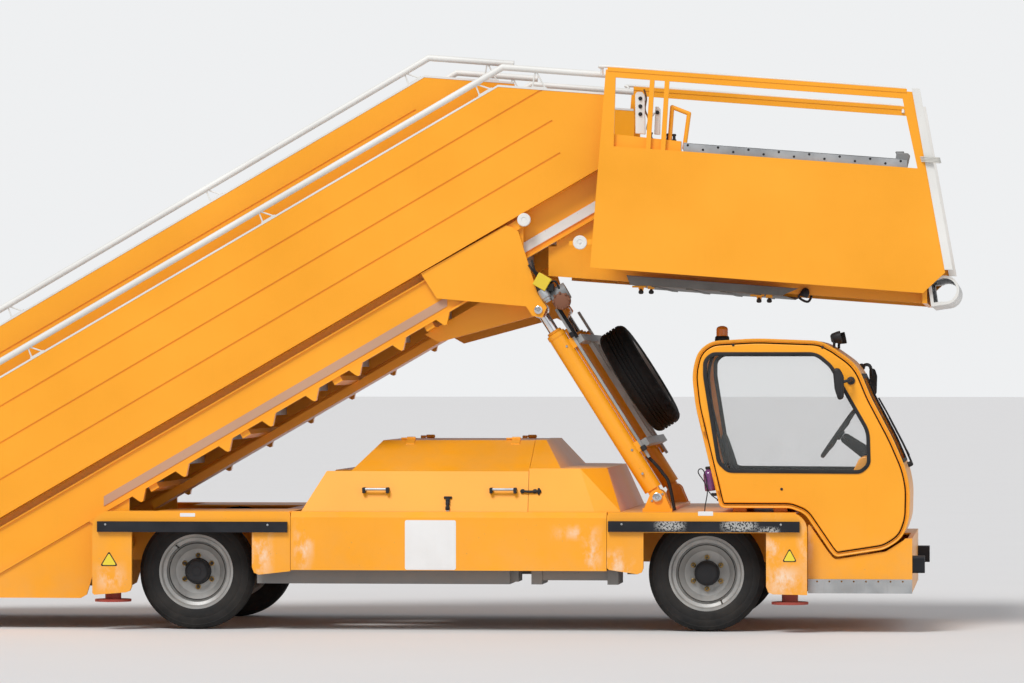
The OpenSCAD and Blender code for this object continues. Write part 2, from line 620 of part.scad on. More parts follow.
module knuckle() difference() {
    union() {
        translate([wheelbase, -kingpin_y, axle_z - 42]) cylinder(h = 84, r = 40, $fn = 48);
        bar_y(wheelbase, axle_z, 34, -hub_back_y + seat, -kingpin_y - 20);
        translate([wheelbase - 150, -kingpin_y - 14, axle_z - 20]) cube([130, 28, 30]);
    }
    translate([wheelbase, -kingpin_y, axle_z - 50]) cylinder(h = 100, r = 17.5, $fn = 48);
}
module knuckle_near() color(dark) place() knuckle();
module knuckle_far() color(dark) place() mirror([0, 1, 0]) knuckle();

module jack_pair(x) color("#b3281e") place() pair() translate([x, jack_y, 0]) {
    translate([0, 0, 196]) cylinder(h = 390, r = jack_r, $fn = 48);
    translate([0, 0, 182]) cylinder(h = 16, r = 118, $fn = 64);
}
module jacks_rear() jack_pair(jack_x[0]);
module jacks_front() jack_pair(jack_x[1]);

// Lift legs: a barrel hinged on the deck and a rod that slides in it, each side
leg_len = norm(leg_top - leg_foot);
leg_lean = atan2(leg_foot[0] - leg_top[0], leg_top[1] - leg_foot[1]);
barrel_r = 59;
barrel_end = 1247;
rod_r = 34;
spare_s = 743;
spare_n = 256;
module on_leg() translate([leg_foot[0], 0, leg_foot[1]]) rotate([0, -leg_lean, 0]) children();

module lift_barrels() color(orange) place() on_leg() pair() translate([0, leg_y, 0]) {
    tube_y(0, 0, 47, leg_pin_r, -50, 50);
    difference() {
        union() {
            translate([0, 0, 60]) cylinder(h = barrel_end - 60, r = barrel_r, $fn = 64);
            translate([-38, -45, 30]) cube([76, 90, 40]);
        }
        translate([0, 0, 150]) cylinder(h = barrel_end, r = rod_r + 6, $fn = 64);
        bar_y(0, 0, leg_pin_r, -60, 60);
    }
    // brackets for the spare wheel's frame
    for (s = [310, 1100]) translate([barrel_r - 12, -28, s]) cube([34, 56, 70]);
}
module lift_rods() color("#d8dadb") place() on_leg() pair() translate([0, leg_y, 0]) {
    translate([0, 0, 640]) cylinder(h = leg_len - 640 - 40, r = rod_r, $fn = 64);
    translate([0, 0, 640]) cylinder(h = 40, r = rod_r + 5, $fn = 64);
    tube_y(0, leg_len, 52, leg_pin_r - 4, -44, 44);
}
module spare_tyre() color(dark) place() on_leg() translate([spare_n, 0, spare_s]) rotate([0, 0, 90])
    tyre_ring();
module spare_carrier() color(tin) place() on_leg() {
    translate([spare_n, 0, spare_s]) rotate([0, 0, 90]) disc_wheel();
    // side bars along the barrels, cross tubes and the plate behind the wheel
    pair() translate([barrel_r + 22 + seat, leg_y - 30, 248]) cube([16, 60, 1130]);
    for (s = [320, 1110]) translate([barrel_r + 22 + seat + 16, -leg_y, s]) cube([40, 2 * leg_y, 50]);
    for (y = [-130, 90]) translate([barrel_r + 38 + seat, y, 370]) cube([30, 40, 740]);
    translate([barrel_r + 68 + seat, -130, spare_s - 130]) cube([12, 260, 260]);
    translate([barrel_r + 80 + seat, 0, spare_s]) rotate([0, 90, 0])
        cylinder(h = spare_n - barrel_r - 80 + 8, r = 70, $fn = 48);
}

// Steps of a flight, each a tread with its riser, nosing towards the ground end
module step_row(x_list, w, half) for (x = x_list) translate([x, -half, slope_z(x, w)])
    rotate([-90, 0, 0]) mirror([0, 1, 0]) linear_extrude(2 * half) polygon(let (
        run = step_pitch * cos(pitch), rise = step_pitch * sin(pitch), fall = tread_d * sin(dip), t = 28)
        [[0, 0], [tread_d * cos(dip), -fall], [run + 2, rise - t - 2], [run + 14, rise - t - 2],
         [run + 14, -fall - t], [tread_d * cos(dip) - 40, -fall - t + 3], [0, -t], [0, -t - 22],
             [-6, -t - 22], [-6, 0]]);
step_run = step_pitch * cos(pitch);
lower_steps_x = [for (i = [0:15]) -2395 + i * step_run];
platform_x = 2297;
upper_steps_x = [for (k = [1:13]) platform_x - k * step_run];

module lower_steps() color(tin) place() step_row(lower_steps_x, lower_nosing, inner_y - wall_t - seat);
module upper_steps() color(tin) place() {
    step_row(upper_steps_x, upper_nosing, upper_web_y - web_t - seat);
    // platform floor
    slab(-floor_half, floor_half) polygon([[guard_x + 40, floor_z(guard_x + 40)],
        [floor_end_x, floor_z(floor_end_x)], [floor_end_x, floor_z(floor_end_x) - floor_t],
        [guard_x + 40, floor_z(guard_x + 40) - floor_t]]);
    slab(-upper_web_y + web_t, upper_web_y - web_t) polygon([[platform_x + 15, floor_z(platform_x + 15)],
        [guard_x + 40, floor_z(guard_x + 40)], [guard_x + 40, floor_z(guard_x + 40) - floor_t],
        [platform_x + 15, floor_z(platform_x + 15) - floor_t]]);
}
floor_half = 1098;
floor_end_x = 4790;

// Stringers of the lower flight with their foot, cross tubes and the brackets under the flange
plate_gap = 15;
brace_x = [-1450, -900, -300, 300, 900, 1500];
tooth_x = [for (k = [0:9]) -655 + k * step_run];
module lower_stringers() color(orange) place() {
    pair() {
        slab(lower_web_y - 15, lower_web_y) polygon([[stringer_lo_x, foot_z], [stringer_lo_x, foot_z + 10],
            [-2030, slope_z(-2030, -50)], [stringer_hi_x, slope_z(stringer_hi_x, -50)],
            [stringer_hi_x, slope_z(stringer_hi_x, lower_flange_w)],
            [slope_x(foot_z, lower_flange_w), foot_z]]);
        on_slope() translate([along(-1990, -50), lower_web_y, -60])
            cube([along(stringer_hi_x, -50) - along(-1990, -50), plate_gap - seat, 10]);
        on_slope() translate([along(-1600, -300), lower_web_y, lower_flange_w])
            cube([along(stringer_hi_x, -300) - along(-1600, -300) - 30, plate_gap - seat, 12]);
        // brackets under the flange, one to a step
        slab(lower_web_y - 40, lower_web_y + 14) for (x = tooth_x)
            translate([x, slope_z(x, lower_flange_w)])
            rotate(pitch) polygon([[-54, 1], [-32, -46], [-22, -60], [-8, -62], [4, -48], [48, 1]]);
        // foot plate down to the ground end and the lug of the pivot
        slab(lower_web_y - 20, lower_web_y - seat) difference() {
            union() {
                polygon([[-760, foot_z], [-720, 222], [-600, 606],
                    [-440, 606], [-440, slope_z(-440, lower_flange_w - 1)],
                    [slope_x(foot_z, lower_flange_w - 1), foot_z]]);
                translate(flight_pivot) circle(r = 50, $fn = 48);
            }
            translate(flight_pivot) circle(r = pivot_pin_r, $fn = 48);
        }
        // foot box that joins the stringer to the inner wall
        translate([foot_x, inner_y - wall_t, foot_z])
            cube([-2000 - foot_x, lower_web_y - inner_y + wall_t + 24, 12]);
        translate([foot_x, inner_y + seat, foot_z + 12]) cube([14, lower_web_y - inner_y + 23, 160]);
        slab(lower_web_y + 4, lower_web_y + 24) polygon([[foot_x, foot_z + 12], [-2000, foot_z + 12],
            [-2000, slope_z(-2000, -30)], [-2130, 300], [foot_x, 300]]);
    }
    for (x = brace_x) on_slope() translate([along(x, -340), -lower_web_y + 5, -346])
        cube([60, 2 * lower_web_y - 10, 36]);
    // black tray for the hoses, under the cross tubes
    on_slope() translate([along(-420, -400), -110, -398])
        cube([along(1640, -400) - along(-420, -400), 220, 51.7]);
}

// Plates at the head of the lower flight: lift pins, guide rollers
plate_top_w = -14;
eye_pin_r = 22;
bracket_nose_low = [[2226, 2171], [2246, 2140], [2285, 2085], [2255, 2016], [2190, 2030]];
bracket_nose = concat(bracket_nose_low, [[2151, 2090]]);
tube_under_w = -346 - seat;
roller_w = -42 - seat;
module lift_brackets() color(orange) place() pair() {
    slab(lower_web_y + plate_gap, lower_web_y + plate_gap + 25)
        polygon(concat([[1469, 2303], [slope_x(2612, plate_top_w), 2612], [2062, 2600], [2100, 2572]],
            bracket_nose, [[1572, 2142]]));
    slab(leg_y - 95, leg_y - 70)
        polygon(concat([[1470, slope_z(1470, tube_under_w)], [1960, slope_z(1960, tube_under_w)]],
            bracket_nose_low,
            [[1560, 1860]]));
    // tie between the two plates, pad on the stringer's web, and the pin of the rod's eye
    translate([2000, leg_y - 71, 2120]) cube([175, lower_web_y + plate_gap + 1 - leg_y + 71, 40]);
    on_slope() translate([along(1700, -200), lower_web_y + seat, -200])
        cube([220, plate_gap + 1 - seat, 120]);
    bar_y(leg_top[0], leg_top[1], eye_pin_r, leg_y - 100, lower_web_y + plate_gap + 33);
    // guide roller under the outer wall, on its arm
    on_slope() {
        translate([along(2138, roller_w), outer_in_y + 2, roller_w]) rotate([-90, 0, 0])
            cylinder(h = 26, r = 42, $fn = 64);
        translate([along(2138, roller_w), lower_web_y + plate_gap, roller_w]) rotate([-90, 0, 0])
            cylinder(h = 20, r = 14, $fn = 32);
        translate([along(2010, -60), lower_web_y + plate_gap, -78]) cube([170, 9, 60]);
    }
}
module slide_motor() color("#4a4d50") place() {
    translate([2205, -lower_web_y - plate_gap + seat, 2130]) cube([66, 84, 118]);
    on_slope() {
        translate([along(2258, -520), -lower_web_y + 25, -530]) rotate([0, 20, 0])
            cylinder(h = 112, r = 39, $fn = 48);
        translate([along(2280, -500), -lower_web_y + 15, -570]) rotate([0, 90, 0])
            cylinder(h = 112, r = 56, $fn = 48);
    }
}

// Side walls with lapped planks, and their level part at the top
plank_h = (wall_h - 165) / 3;
groove = [12, 7];
module wall_plate(lo_x, bend_x, hi_x, w_lo, w_hi, lo_z) polygon([
    [lo_x, max(lo_z, slope_z(lo_x, w_lo))],
    [max(lo_x, slope_x(lo_z, w_lo)), max(lo_z, slope_z(lo_x, w_lo))],
    [hi_x, slope_z(hi_x, w_lo)], [hi_x, flat_z(hi_x, bend_x, slope_z(bend_x, w_hi))],
    [bend_x, slope_z(bend_x, w_hi)], [lo_x, slope_z(lo_x, w_hi)]]);
module outer_walls() color(orange) place() pair() difference() {
    slab(outer_in_y, wall_y) wall_plate(outer_lo_x, outer_bend_x, outer_hi_x, 0, wall_h, foot_z);
    for (i = [1:3]) on_slope() translate([along(outer_lo_x - 300, 0), wall_y - groove[1], i * plank_h])
        cube([5400 + i * 60, groove[1] + 1, groove[0]]);
}
inner_foot_w = -30;
module inner_walls() color(orange) place() pair() difference() {
    slab(inner_y - wall_t, inner_y) intersection() {
        wall_plate(foot_x, inner_bend_x, inner_hi_x, inner_foot_w, inner_w, foot_z + 12);
        translate([foot_x, foot_z + 12]) square([inner_hi_x - foot_x, 5000]);
    }
    for (i = [1:5]) on_slope() translate([along(foot_x - 400, 0), inner_y - groove[1], i * plank_h + 110])
        cube([5600, groove[1] + 1, groove[0]]);
}

// White handrail tube over a wall, on small wire brackets, and the white cap of the wall
module handrail(lo_x, bend_x, hi_x, w_top, y, bracket_x, flat_x) {
    bend = [bend_x + rail_rise * 0.3, slope_z(bend_x + rail_rise * 0.3, w_top + rail_rise)];
    lo = [lo_x, slope_z(lo_x, w_top + rail_rise)];
    hi = [hi_x, flat_z(hi_x, bend[0], bend[1])];
    run_len = norm(bend - lo);
    flat_len = norm(hi - bend);
    translate([bend[0], y, bend[1]]) {
        rotate([0, -90 - pitch, 0]) cylinder(h = run_len, r = rail_r, $fn = 32);
        sphere(r = rail_r, $fn = 32);
        rotate([0, 90 + dip, 0]) cylinder(h = flat_len, r = rail_r, $fn = 32);
    }
    translate([lo[0], y, lo[1]]) {
        sphere(r = rail_r, $fn = 32);
        rotate([0, 180 - pitch, 0]) cylinder(h = rail_rise - 6, r = rail_r, $fn = 32);
    }
    // cap along the wall's top edge
    slab(y - 17, y + 17) {
        polygon([[lo_x + 60, slope_z(lo_x + 60, w_top + seat)], [bend_x, slope_z(bend_x, w_top + seat)],
            [bend_x, slope_z(bend_x, w_top + 12)], [lo_x + 60, slope_z(lo_x + 60, w_top + 12)]]);
        polygon([[bend_x, slope_z(bend_x, w_top + seat)],
            [hi_x, flat_z(hi_x, bend_x, slope_z(bend_x, w_top + seat))],
            [hi_x, flat_z(hi_x, bend_x, slope_z(bend_x, w_top + 12))],
                [bend_x, slope_z(bend_x, w_top + 12)]]);
    }
    for (x = bracket_x) on_slope() translate([along(x, w_top), y, w_top + 11]) wire_bracket(rail_rise - 10);
    for (x = flat_x) translate([x, y, flat_z(x, bend_x, slope_z(bend_x, w_top + 11))])
        rotate([0, dip, 0]) wire_bracket(flat_z(x, bend[0], bend[1]) - flat_z(x, bend_x,
            slope_z(bend_x, w_top + 11)));
}
module wire_bracket(h) {
    translate([-45, -17, 0]) cube([100, 34, 8]);
    for (a = [[-38, 12], [44, -70]]) translate([a[0], 0, 3]) rotate([0, atan2(a[1], h - 7), 0])
        cylinder(h = norm([a[1], h - 7]), r = 5, $fn = 24);
}
outer_rail_y = wall_y - wall_t / 2;
inner_rail_y = inner_y - wall_t / 2;
module outer_handrails() color(off_white) place() pair()
    handrail(outer_lo_x + 20, outer_bend_x, outer_hi_x - 4, wall_h, outer_rail_y,
        [-1035, 480, 1960 - 70], [2230]);
module inner_handrails() color(off_white) place() pair()
    handrail(foot_x + 24, inner_bend_x, inner_hi_x - 4, inner_w, inner_rail_y, [-2150, -1200, 110, 1410],
        [1900]);

// Stringers of the upper flight and the frame of the platform
upper_lo_x = -1580;
upper_hi_x = 2640;
frame_y = upper_web_y - web_t;
module upper_stringers() color(orange) place() pair() {
    slab(frame_y, upper_web_y) polygon([[upper_lo_x, slope_z(upper_lo_x, -222)],
        [upper_lo_x, slope_z(upper_lo_x, 8)],
        [upper_hi_x, slope_z(upper_hi_x, 8)], [upper_hi_x, slope_z(upper_hi_x, upper_flange_w)],
        [upper_lo_x + 80, slope_z(upper_lo_x + 80, upper_flange_w)]]);
    // inward foot of the outer wall
    on_slope() translate([along(upper_lo_x + 20, 0), upper_web_y + seat, 0])
        cube([along(upper_hi_x - 20, 0) - along(upper_lo_x + 20, 0), outer_in_y - upper_web_y - 2 * seat,
            8]);
    // running track and lower flange
    on_slope() translate([along(upper_lo_x + 140, -222), upper_web_y, -222])
        cube([along(upper_hi_x, -222) - along(upper_lo_x + 140, -222) - 40, 8, 61]);
    on_slope() translate([along(upper_lo_x + 140, -250), upper_web_y, upper_flange_w])
        cube([along(upper_hi_x, -250) - along(upper_lo_x + 140, -250) - 40, 26, 12]);
}
frame_lo_x = 2285;
function frame_lo_z(x) = 2289 - (x - 2270) * 0.075;
nose_beam_x = 4725;
rest_x = [2760, 3450, 4180];
module platform_frame() color(orange) place() {
    pair() {
        slab(frame_y - 22, frame_y - seat)
            polygon([[frame_lo_x, frame_lo_z(frame_lo_x)], [frame_lo_x, 2478],
            [platform_x + 40, 2478], [platform_x + 40, floor_z(platform_x + 40) - floor_t - seat],
            [floor_end_x - 2, floor_z(floor_end_x) - floor_t - seat],
                [nose_beam_x, frame_lo_z(nose_beam_x) + 200],
            [nose_beam_x, frame_lo_z(nose_beam_x)]]);
        // outriggers that carry the floor and the guards' runners
        for (x = rest_x) translate([x, frame_y - seat, floor_z(x) - floor_t]) rotate([0, dip, 0]) {
            translate([0, 0, -120]) cube([60, floor_half - frame_y, 60]);
            translate([0, 0, -61]) cube([60, guard_y - guard_t - 55 - frame_y, 61 - seat]);
            // sliding pad under the guard's runner
            translate([0, guard_y - guard_t - 47 - frame_y, -61]) cube([60, 33, 1 + gap - seat]);
        }
    }
    pair() translate([nose_beam_x - 30, frame_y - 1, frame_lo_z(nose_beam_x)])
        cube([30, floor_half - frame_y + 1, 190]);
}
// Beams between the two webs of the frame, and the shallow tray under the floor
module platform_beams() color(orange) place() {
    span = frame_y - 22 - seat;
    for (x = [2420, 3020, 3640, 4280]) translate([x, -span, frame_lo_z(x) + 20]) cube([50, 2 * span, 90]);
    translate([nose_beam_x - 30, -span, frame_lo_z(nose_beam_x)]) cube([30, 2 * span, 190]);
    translate([2800, -span, frame_lo_z(3870) + 6]) cube([1070, 2 * span, 14]);
}

// Sliding side guards of the platform, outline as seen from the near side
guard_foot = [guard_x - 24, 2336];
guard_head = [guard_x + 77, guard_top_z0 + guard_rail];
guard_t = 30;
bar_h = 46;
function rail_top(x) = flat_z(x, guard_head[0], guard_head[1]);
nose_top_x = guard_nose_x - 208;
post_w = 62;
edge_top = rail_top(nose_top_x) + 22;
edge_lo = 2318;
function front_edge(z) = guard_nose_x - (z - 2300) * 208 / (rail_top(nose_top_x) - 2300);
module guard_panel() difference() {
    polygon([guard_foot, guard_head, [nose_top_x, rail_top(nose_top_x)], [guard_nose_x, 2300],
        [guard_nose_x - 141, 2169]]);
    polygon([[guard_head[0] + post_w - 12, guard_top(guard_head[0] + post_w)],
        [guard_head[0] + post_w, rail_top(guard_head[0] + post_w) - bar_h],
        [nose_top_x - post_w, rail_top(nose_top_x) - bar_h + 4],
        [nose_top_x - post_w + 95, guard_top(nose_top_x)]]);
}
module guard() {
    slab(guard_y - guard_t, guard_y) guard_panel();
    // runner between the floor and the outriggers, on a full-length web
    translate([2700, guard_y - guard_t - 50, floor_z(2700) - floor_t]) rotate([0, dip, 0])
        translate([0, 0, gap - 60]) cube([1760, 51, 60 - 2 * gap]);
    // guide roller behind the panel, on its arm
    slab(guard_y - guard_t, guard_y - 8)
        polygon([[2440, 2478], [2600, 2484], [2600, 2520], [2520, 2512], [2440, 2506]]);
    bar_y(2510, 2497, 44, guard_y - guard_t + 3, guard_y - 3);
    // hand rail tube over the top bar
    translate([guard_head[0] + 10, guard_y - 34, rail_top(guard_head[0] + 10) - 8]) rotate([0, dip, 0])
        cube([nose_top_x - guard_head[0] - 40, 38, 24]);
}
module guard_far() color(orange) place() guard();
module guard_near() color(orange) place() {
    mirror([0, 1, 0]) guard();
    slab(-guard_y, -guard_y + 26) for (x = [2960, 3055])
        polygon([[x - 28, guard_top(x) - 10], [x + 2, guard_top(x) - 10], [x + 30, rail_top(x) - bar_h + 6],
            [x, rail_top(x) - bar_h + 6]]);
}
module guard_edge() slab(guard_y - 56, guard_y + 6) polygon([
    [front_edge(edge_top) + seat, edge_top], [front_edge(edge_top) + 52, edge_top - 2],
    [front_edge(edge_lo) + 52, edge_lo], [front_edge(edge_lo) + seat, edge_lo]]);
module guard_edge_far() color(off_white) place() guard_edge();
module guard_edge_near() color(off_white) place() mirror([0, 1, 0]) guard_edge();

// Control box on the near guard, with its hand loop
module console() color(orange) place() {
    slab(-guard_y + guard_t + seat, -guard_y + guard_t + 78)
        polygon([[2716, guard_top(2716) - 30], [3156, guard_top(3156) - 30],
        [3156, guard_top(3156) + 64], [2716, guard_top(2716) + 78]]);
    for (leg = [[[3082, 60], [3098, 280]], [[3176, 24], [3206, 246]]]) hull() {
        translate([leg[0][0], -guard_y + 68, guard_top(leg[0][0]) + leg[0][1]]) sphere(r = 14, $fn = 16);
        translate([leg[1][0], -guard_y + 68, guard_top(leg[1][0]) + leg[1][1]]) sphere(r = 14, $fn = 16);
    }
    hull() for (e = [[3098, 280], [3206, 246]])
        translate([e[0], -guard_y + 68, guard_top(e[0]) + e[1]]) sphere(r = 14, $fn = 16);
}

// Half-round hollow bumper across the front of the platform
bumper_r = 92;
bumper_wall = 17;
bumper_back = 99.8;
bumper_z = 2190;
module nose_bumper() color(off_white) place()
    slab(-floor_half, floor_half) translate([nose_beam_x + 112, bumper_z]) rotate(8) difference() {
        union() {
            circle(r = bumper_r, $fn = 72);
            translate([-bumper_back, -bumper_r]) square([bumper_back, 22]);
            translate([-bumper_back, bumper_r - 22]) square([bumper_back, 22]);
            translate([-bumper_back, -bumper_r]) square([20, 2 * bumper_r]);
        }
        circle(r = bumper_r - bumper_wall, $fn = 72);
        translate([20 - bumper_back, -bumper_r + 22]) square([50, 2 * bumper_r - 44]);
    }

chassis_frame();
deck_plates();
fenders();
side_panels();
rub_strips();
engine_hood_front();
engine_lid_near();
engine_lid_far();
engine_and_tanks();
front_apron();
step_strip();
axle_beams();
knuckle_near();
knuckle_far();
for (w = WHEELS) {
    tyre(w);
    rim(w);
}
jacks_rear();
jacks_front();
lift_barrels();
lift_rods();
spare_tyre();
spare_carrier();
lower_stringers();
lower_steps();
inner_walls();
inner_handrails();
lift_brackets();
slide_motor();
upper_stringers();
platform_frame();
platform_beams();
upper_steps();
outer_walls();
outer_handrails();
console();
guard_near();
guard_far();
guard_edge_near();
guard_edge_far();
nose_bumper();
cab_shell();
cab_base();
cab_side_far();
cab_door_near();
cab_glass();
cab_door_glass();
cab_interior();
cab_fittings();
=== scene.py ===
"""Looks of the mobile aircraft stairs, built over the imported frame."""
import json
import math
import sys

import bmesh
import bpy
from bpy.props import FloatProperty, FloatVectorProperty, PointerProperty
from mathutils import Vector
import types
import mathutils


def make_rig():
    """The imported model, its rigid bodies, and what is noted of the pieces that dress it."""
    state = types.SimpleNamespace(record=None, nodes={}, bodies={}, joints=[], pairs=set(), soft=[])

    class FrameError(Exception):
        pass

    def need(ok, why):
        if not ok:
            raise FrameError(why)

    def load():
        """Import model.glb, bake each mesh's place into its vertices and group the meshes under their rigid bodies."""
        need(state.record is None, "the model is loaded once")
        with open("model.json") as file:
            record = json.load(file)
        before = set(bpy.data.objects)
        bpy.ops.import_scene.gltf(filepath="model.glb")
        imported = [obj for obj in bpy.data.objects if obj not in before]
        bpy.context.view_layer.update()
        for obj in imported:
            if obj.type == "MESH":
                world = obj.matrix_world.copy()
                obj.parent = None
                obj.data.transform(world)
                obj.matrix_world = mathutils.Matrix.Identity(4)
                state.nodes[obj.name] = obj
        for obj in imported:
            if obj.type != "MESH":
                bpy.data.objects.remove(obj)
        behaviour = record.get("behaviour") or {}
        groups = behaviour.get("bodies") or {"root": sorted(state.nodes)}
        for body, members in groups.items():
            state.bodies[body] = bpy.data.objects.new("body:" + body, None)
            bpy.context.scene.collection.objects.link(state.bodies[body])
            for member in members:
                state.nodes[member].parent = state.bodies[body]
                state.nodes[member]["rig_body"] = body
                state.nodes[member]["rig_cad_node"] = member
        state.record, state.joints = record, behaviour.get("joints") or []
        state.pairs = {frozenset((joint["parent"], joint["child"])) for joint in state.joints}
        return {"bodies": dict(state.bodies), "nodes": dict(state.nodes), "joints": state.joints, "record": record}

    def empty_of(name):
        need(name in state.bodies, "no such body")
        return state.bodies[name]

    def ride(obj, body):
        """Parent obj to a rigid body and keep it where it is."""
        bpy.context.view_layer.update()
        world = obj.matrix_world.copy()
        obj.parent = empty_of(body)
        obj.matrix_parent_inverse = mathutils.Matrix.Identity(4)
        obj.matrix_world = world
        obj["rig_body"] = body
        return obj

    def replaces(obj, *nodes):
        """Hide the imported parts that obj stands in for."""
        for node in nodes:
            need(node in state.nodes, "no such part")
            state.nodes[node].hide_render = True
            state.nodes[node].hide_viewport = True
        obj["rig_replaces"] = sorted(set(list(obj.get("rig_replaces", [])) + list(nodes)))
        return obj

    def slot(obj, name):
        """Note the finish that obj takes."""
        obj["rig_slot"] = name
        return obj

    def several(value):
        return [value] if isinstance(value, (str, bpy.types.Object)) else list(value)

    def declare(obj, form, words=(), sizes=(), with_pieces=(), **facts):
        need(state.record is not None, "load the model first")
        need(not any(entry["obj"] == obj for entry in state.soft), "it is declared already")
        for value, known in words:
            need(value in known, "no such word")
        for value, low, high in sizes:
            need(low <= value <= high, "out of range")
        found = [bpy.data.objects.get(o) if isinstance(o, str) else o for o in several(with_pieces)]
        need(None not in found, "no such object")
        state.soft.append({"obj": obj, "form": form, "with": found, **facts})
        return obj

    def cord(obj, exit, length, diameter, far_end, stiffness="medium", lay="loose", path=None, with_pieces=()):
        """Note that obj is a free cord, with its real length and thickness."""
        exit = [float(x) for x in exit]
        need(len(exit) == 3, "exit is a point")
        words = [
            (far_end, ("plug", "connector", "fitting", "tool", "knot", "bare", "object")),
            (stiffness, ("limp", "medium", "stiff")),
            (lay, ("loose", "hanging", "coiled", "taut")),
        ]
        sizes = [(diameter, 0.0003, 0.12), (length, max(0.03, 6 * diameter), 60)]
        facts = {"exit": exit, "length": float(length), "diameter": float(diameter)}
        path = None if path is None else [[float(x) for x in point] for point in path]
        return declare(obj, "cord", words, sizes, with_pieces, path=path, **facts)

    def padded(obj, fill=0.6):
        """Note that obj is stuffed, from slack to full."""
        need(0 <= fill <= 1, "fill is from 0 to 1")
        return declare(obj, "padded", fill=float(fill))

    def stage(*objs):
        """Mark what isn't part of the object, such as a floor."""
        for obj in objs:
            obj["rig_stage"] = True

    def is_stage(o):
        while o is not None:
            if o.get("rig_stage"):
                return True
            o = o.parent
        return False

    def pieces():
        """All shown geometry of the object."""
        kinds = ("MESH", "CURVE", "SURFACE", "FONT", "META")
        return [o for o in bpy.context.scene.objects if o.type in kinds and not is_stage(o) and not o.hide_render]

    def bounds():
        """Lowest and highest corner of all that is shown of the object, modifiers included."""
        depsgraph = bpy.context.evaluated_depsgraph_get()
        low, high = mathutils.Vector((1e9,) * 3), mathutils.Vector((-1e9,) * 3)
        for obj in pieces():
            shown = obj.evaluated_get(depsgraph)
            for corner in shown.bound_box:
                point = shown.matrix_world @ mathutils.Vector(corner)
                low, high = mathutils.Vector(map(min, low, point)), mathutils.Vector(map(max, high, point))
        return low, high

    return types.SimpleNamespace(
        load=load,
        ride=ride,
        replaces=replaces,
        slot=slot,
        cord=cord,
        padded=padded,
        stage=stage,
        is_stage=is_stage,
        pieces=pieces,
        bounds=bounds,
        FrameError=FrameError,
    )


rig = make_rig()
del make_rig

bl_info = {
    "name": "Mobile Aircraft Stairs",
    "version": (1, 0, 0),
    "blender": (4, 5, 0),
    "location": "3D Viewport > Sidebar > Airstairs",
    "description": "Dresses the packed frame of self-propelled passenger stairs with fittings and finishes",
    "category": "Object",
}

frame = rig.load()
CAD_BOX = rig.bounds()
MID_X = 1185.0
WHEELS = ("rear_near", "rear_far", "front_near", "front_far")
PITCH = math.radians(30)
DIP = math.radians(4.5)


class StairsColours(bpy.types.PropertyGroup):
    """Colours of the finishes."""

    orange: FloatVectorProperty(
        name="Orange enamel", description="Body colour of the truck and the stairs",
        subtype="COLOR", size=3, min=0, max=1, default=(0.95, 0.375, 0.008))
    white: FloatVectorProperty(
        name="White enamel", description="Handrails, caps and bumper",
        subtype="COLOR", size=3, min=0, max=1, default=(0.78, 0.77, 0.73))
    tyre: FloatVectorProperty(
        name="Tyre rubber", description="Rubber of the tyres",
        subtype="COLOR", size=3, min=0, max=1, default=(0.009, 0.009, 0.0095))
    dust: FloatVectorProperty(
        name="Road dust", description="Dust that settles on hems and ledges",
        subtype="COLOR", size=3, min=0, max=1, default=(0.42, 0.35, 0.27))


class StairsSizes(bpy.types.PropertyGroup):
    """Sizes that belong to the looks alone."""

    edge_round: FloatProperty(
        name="Edge rounding", description="Radius of pressed and welded sheet edges",
        subtype="DISTANCE", unit="LENGTH", default=0.004, min=0.001, max=0.01)
    dust_level: FloatProperty(
        name="Dust level", description="How much dust lies on the machine",
        subtype="FACTOR", default=0.3, min=0, max=1)
    seal_width: FloatProperty(
        name="Window seal", description="Width of the rubber seals of the cab's windows",
        subtype="DISTANCE", unit="LENGTH", default=0.026, min=0.01, max=0.05)


def colours():
    return bpy.context.scene.airstairs_colours


def sizes():
    return bpy.context.scene.airstairs_sizes


# Node helpers


def add(tree, kind, inputs=None, **props):
    """A node with its properties and inputs set; an input may be a socket or a value."""
    made = tree.nodes.new(kind)
    for key, value in props.items():
        setattr(made, key, value)
    for key, value in (inputs or {}).items():
        if isinstance(value, bpy.types.NodeSocket):
            tree.links.new(value, made.inputs[key])
        else:
            made.inputs[key].default_value = value
    return made


def blend_colour(tree, mask, low, high, mode="MIX"):
    made = tree.nodes.new("ShaderNodeMix")
    made.data_type = "RGBA"
    made.blend_type = mode
    for index, value in ((0, mask), (6, low), (7, high)):
        if isinstance(value, bpy.types.NodeSocket):
            tree.links.new(value, made.inputs[index])
        elif index == 0:
            made.inputs[0].default_value = value
        else:
            made.inputs[index].default_value = (*value[:3], 1)
    return made.outputs[2]


def calc(tree, operation, first, second=0.0, clamp=False):
    return add(tree, "ShaderNodeMath", {0: first, 1: second}, operation=operation, use_clamp=clamp).outputs[0]


def ramp(tree, value, low, high, to_low=0.0, to_high=1.0):
    return add(tree, "ShaderNodeMapRange", {
        "Value": value, "From Min": low, "From Max": high, "To Min": to_low, "To Max": to_high}).outputs[0]


def new_group(name, inputs, outputs):
    """A node group with named float inputs and outputs, and its two end nodes."""
    group = bpy.data.node_groups.new(name, "ShaderNodeTree")
    for label, default in inputs.items():
        socket = group.interface.new_socket(label, in_out="INPUT", socket_type="NodeSocketFloat")
        socket.default_value = default
    for label in outputs:
        group.interface.new_socket(label, in_out="OUTPUT", socket_type="NodeSocketFloat")
    return group, group.nodes.new("NodeGroupInput"), group.nodes.new("NodeGroupOutput")


def object_point(tree, scale=(1, 1, 1)):
    place = add(tree, "ShaderNodeTexCoord").outputs["Object"]
    if scale == (1, 1, 1):
        return place
    return add(tree, "ShaderNodeMapping", {"Vector": place, "Scale": scale}).outputs[0]


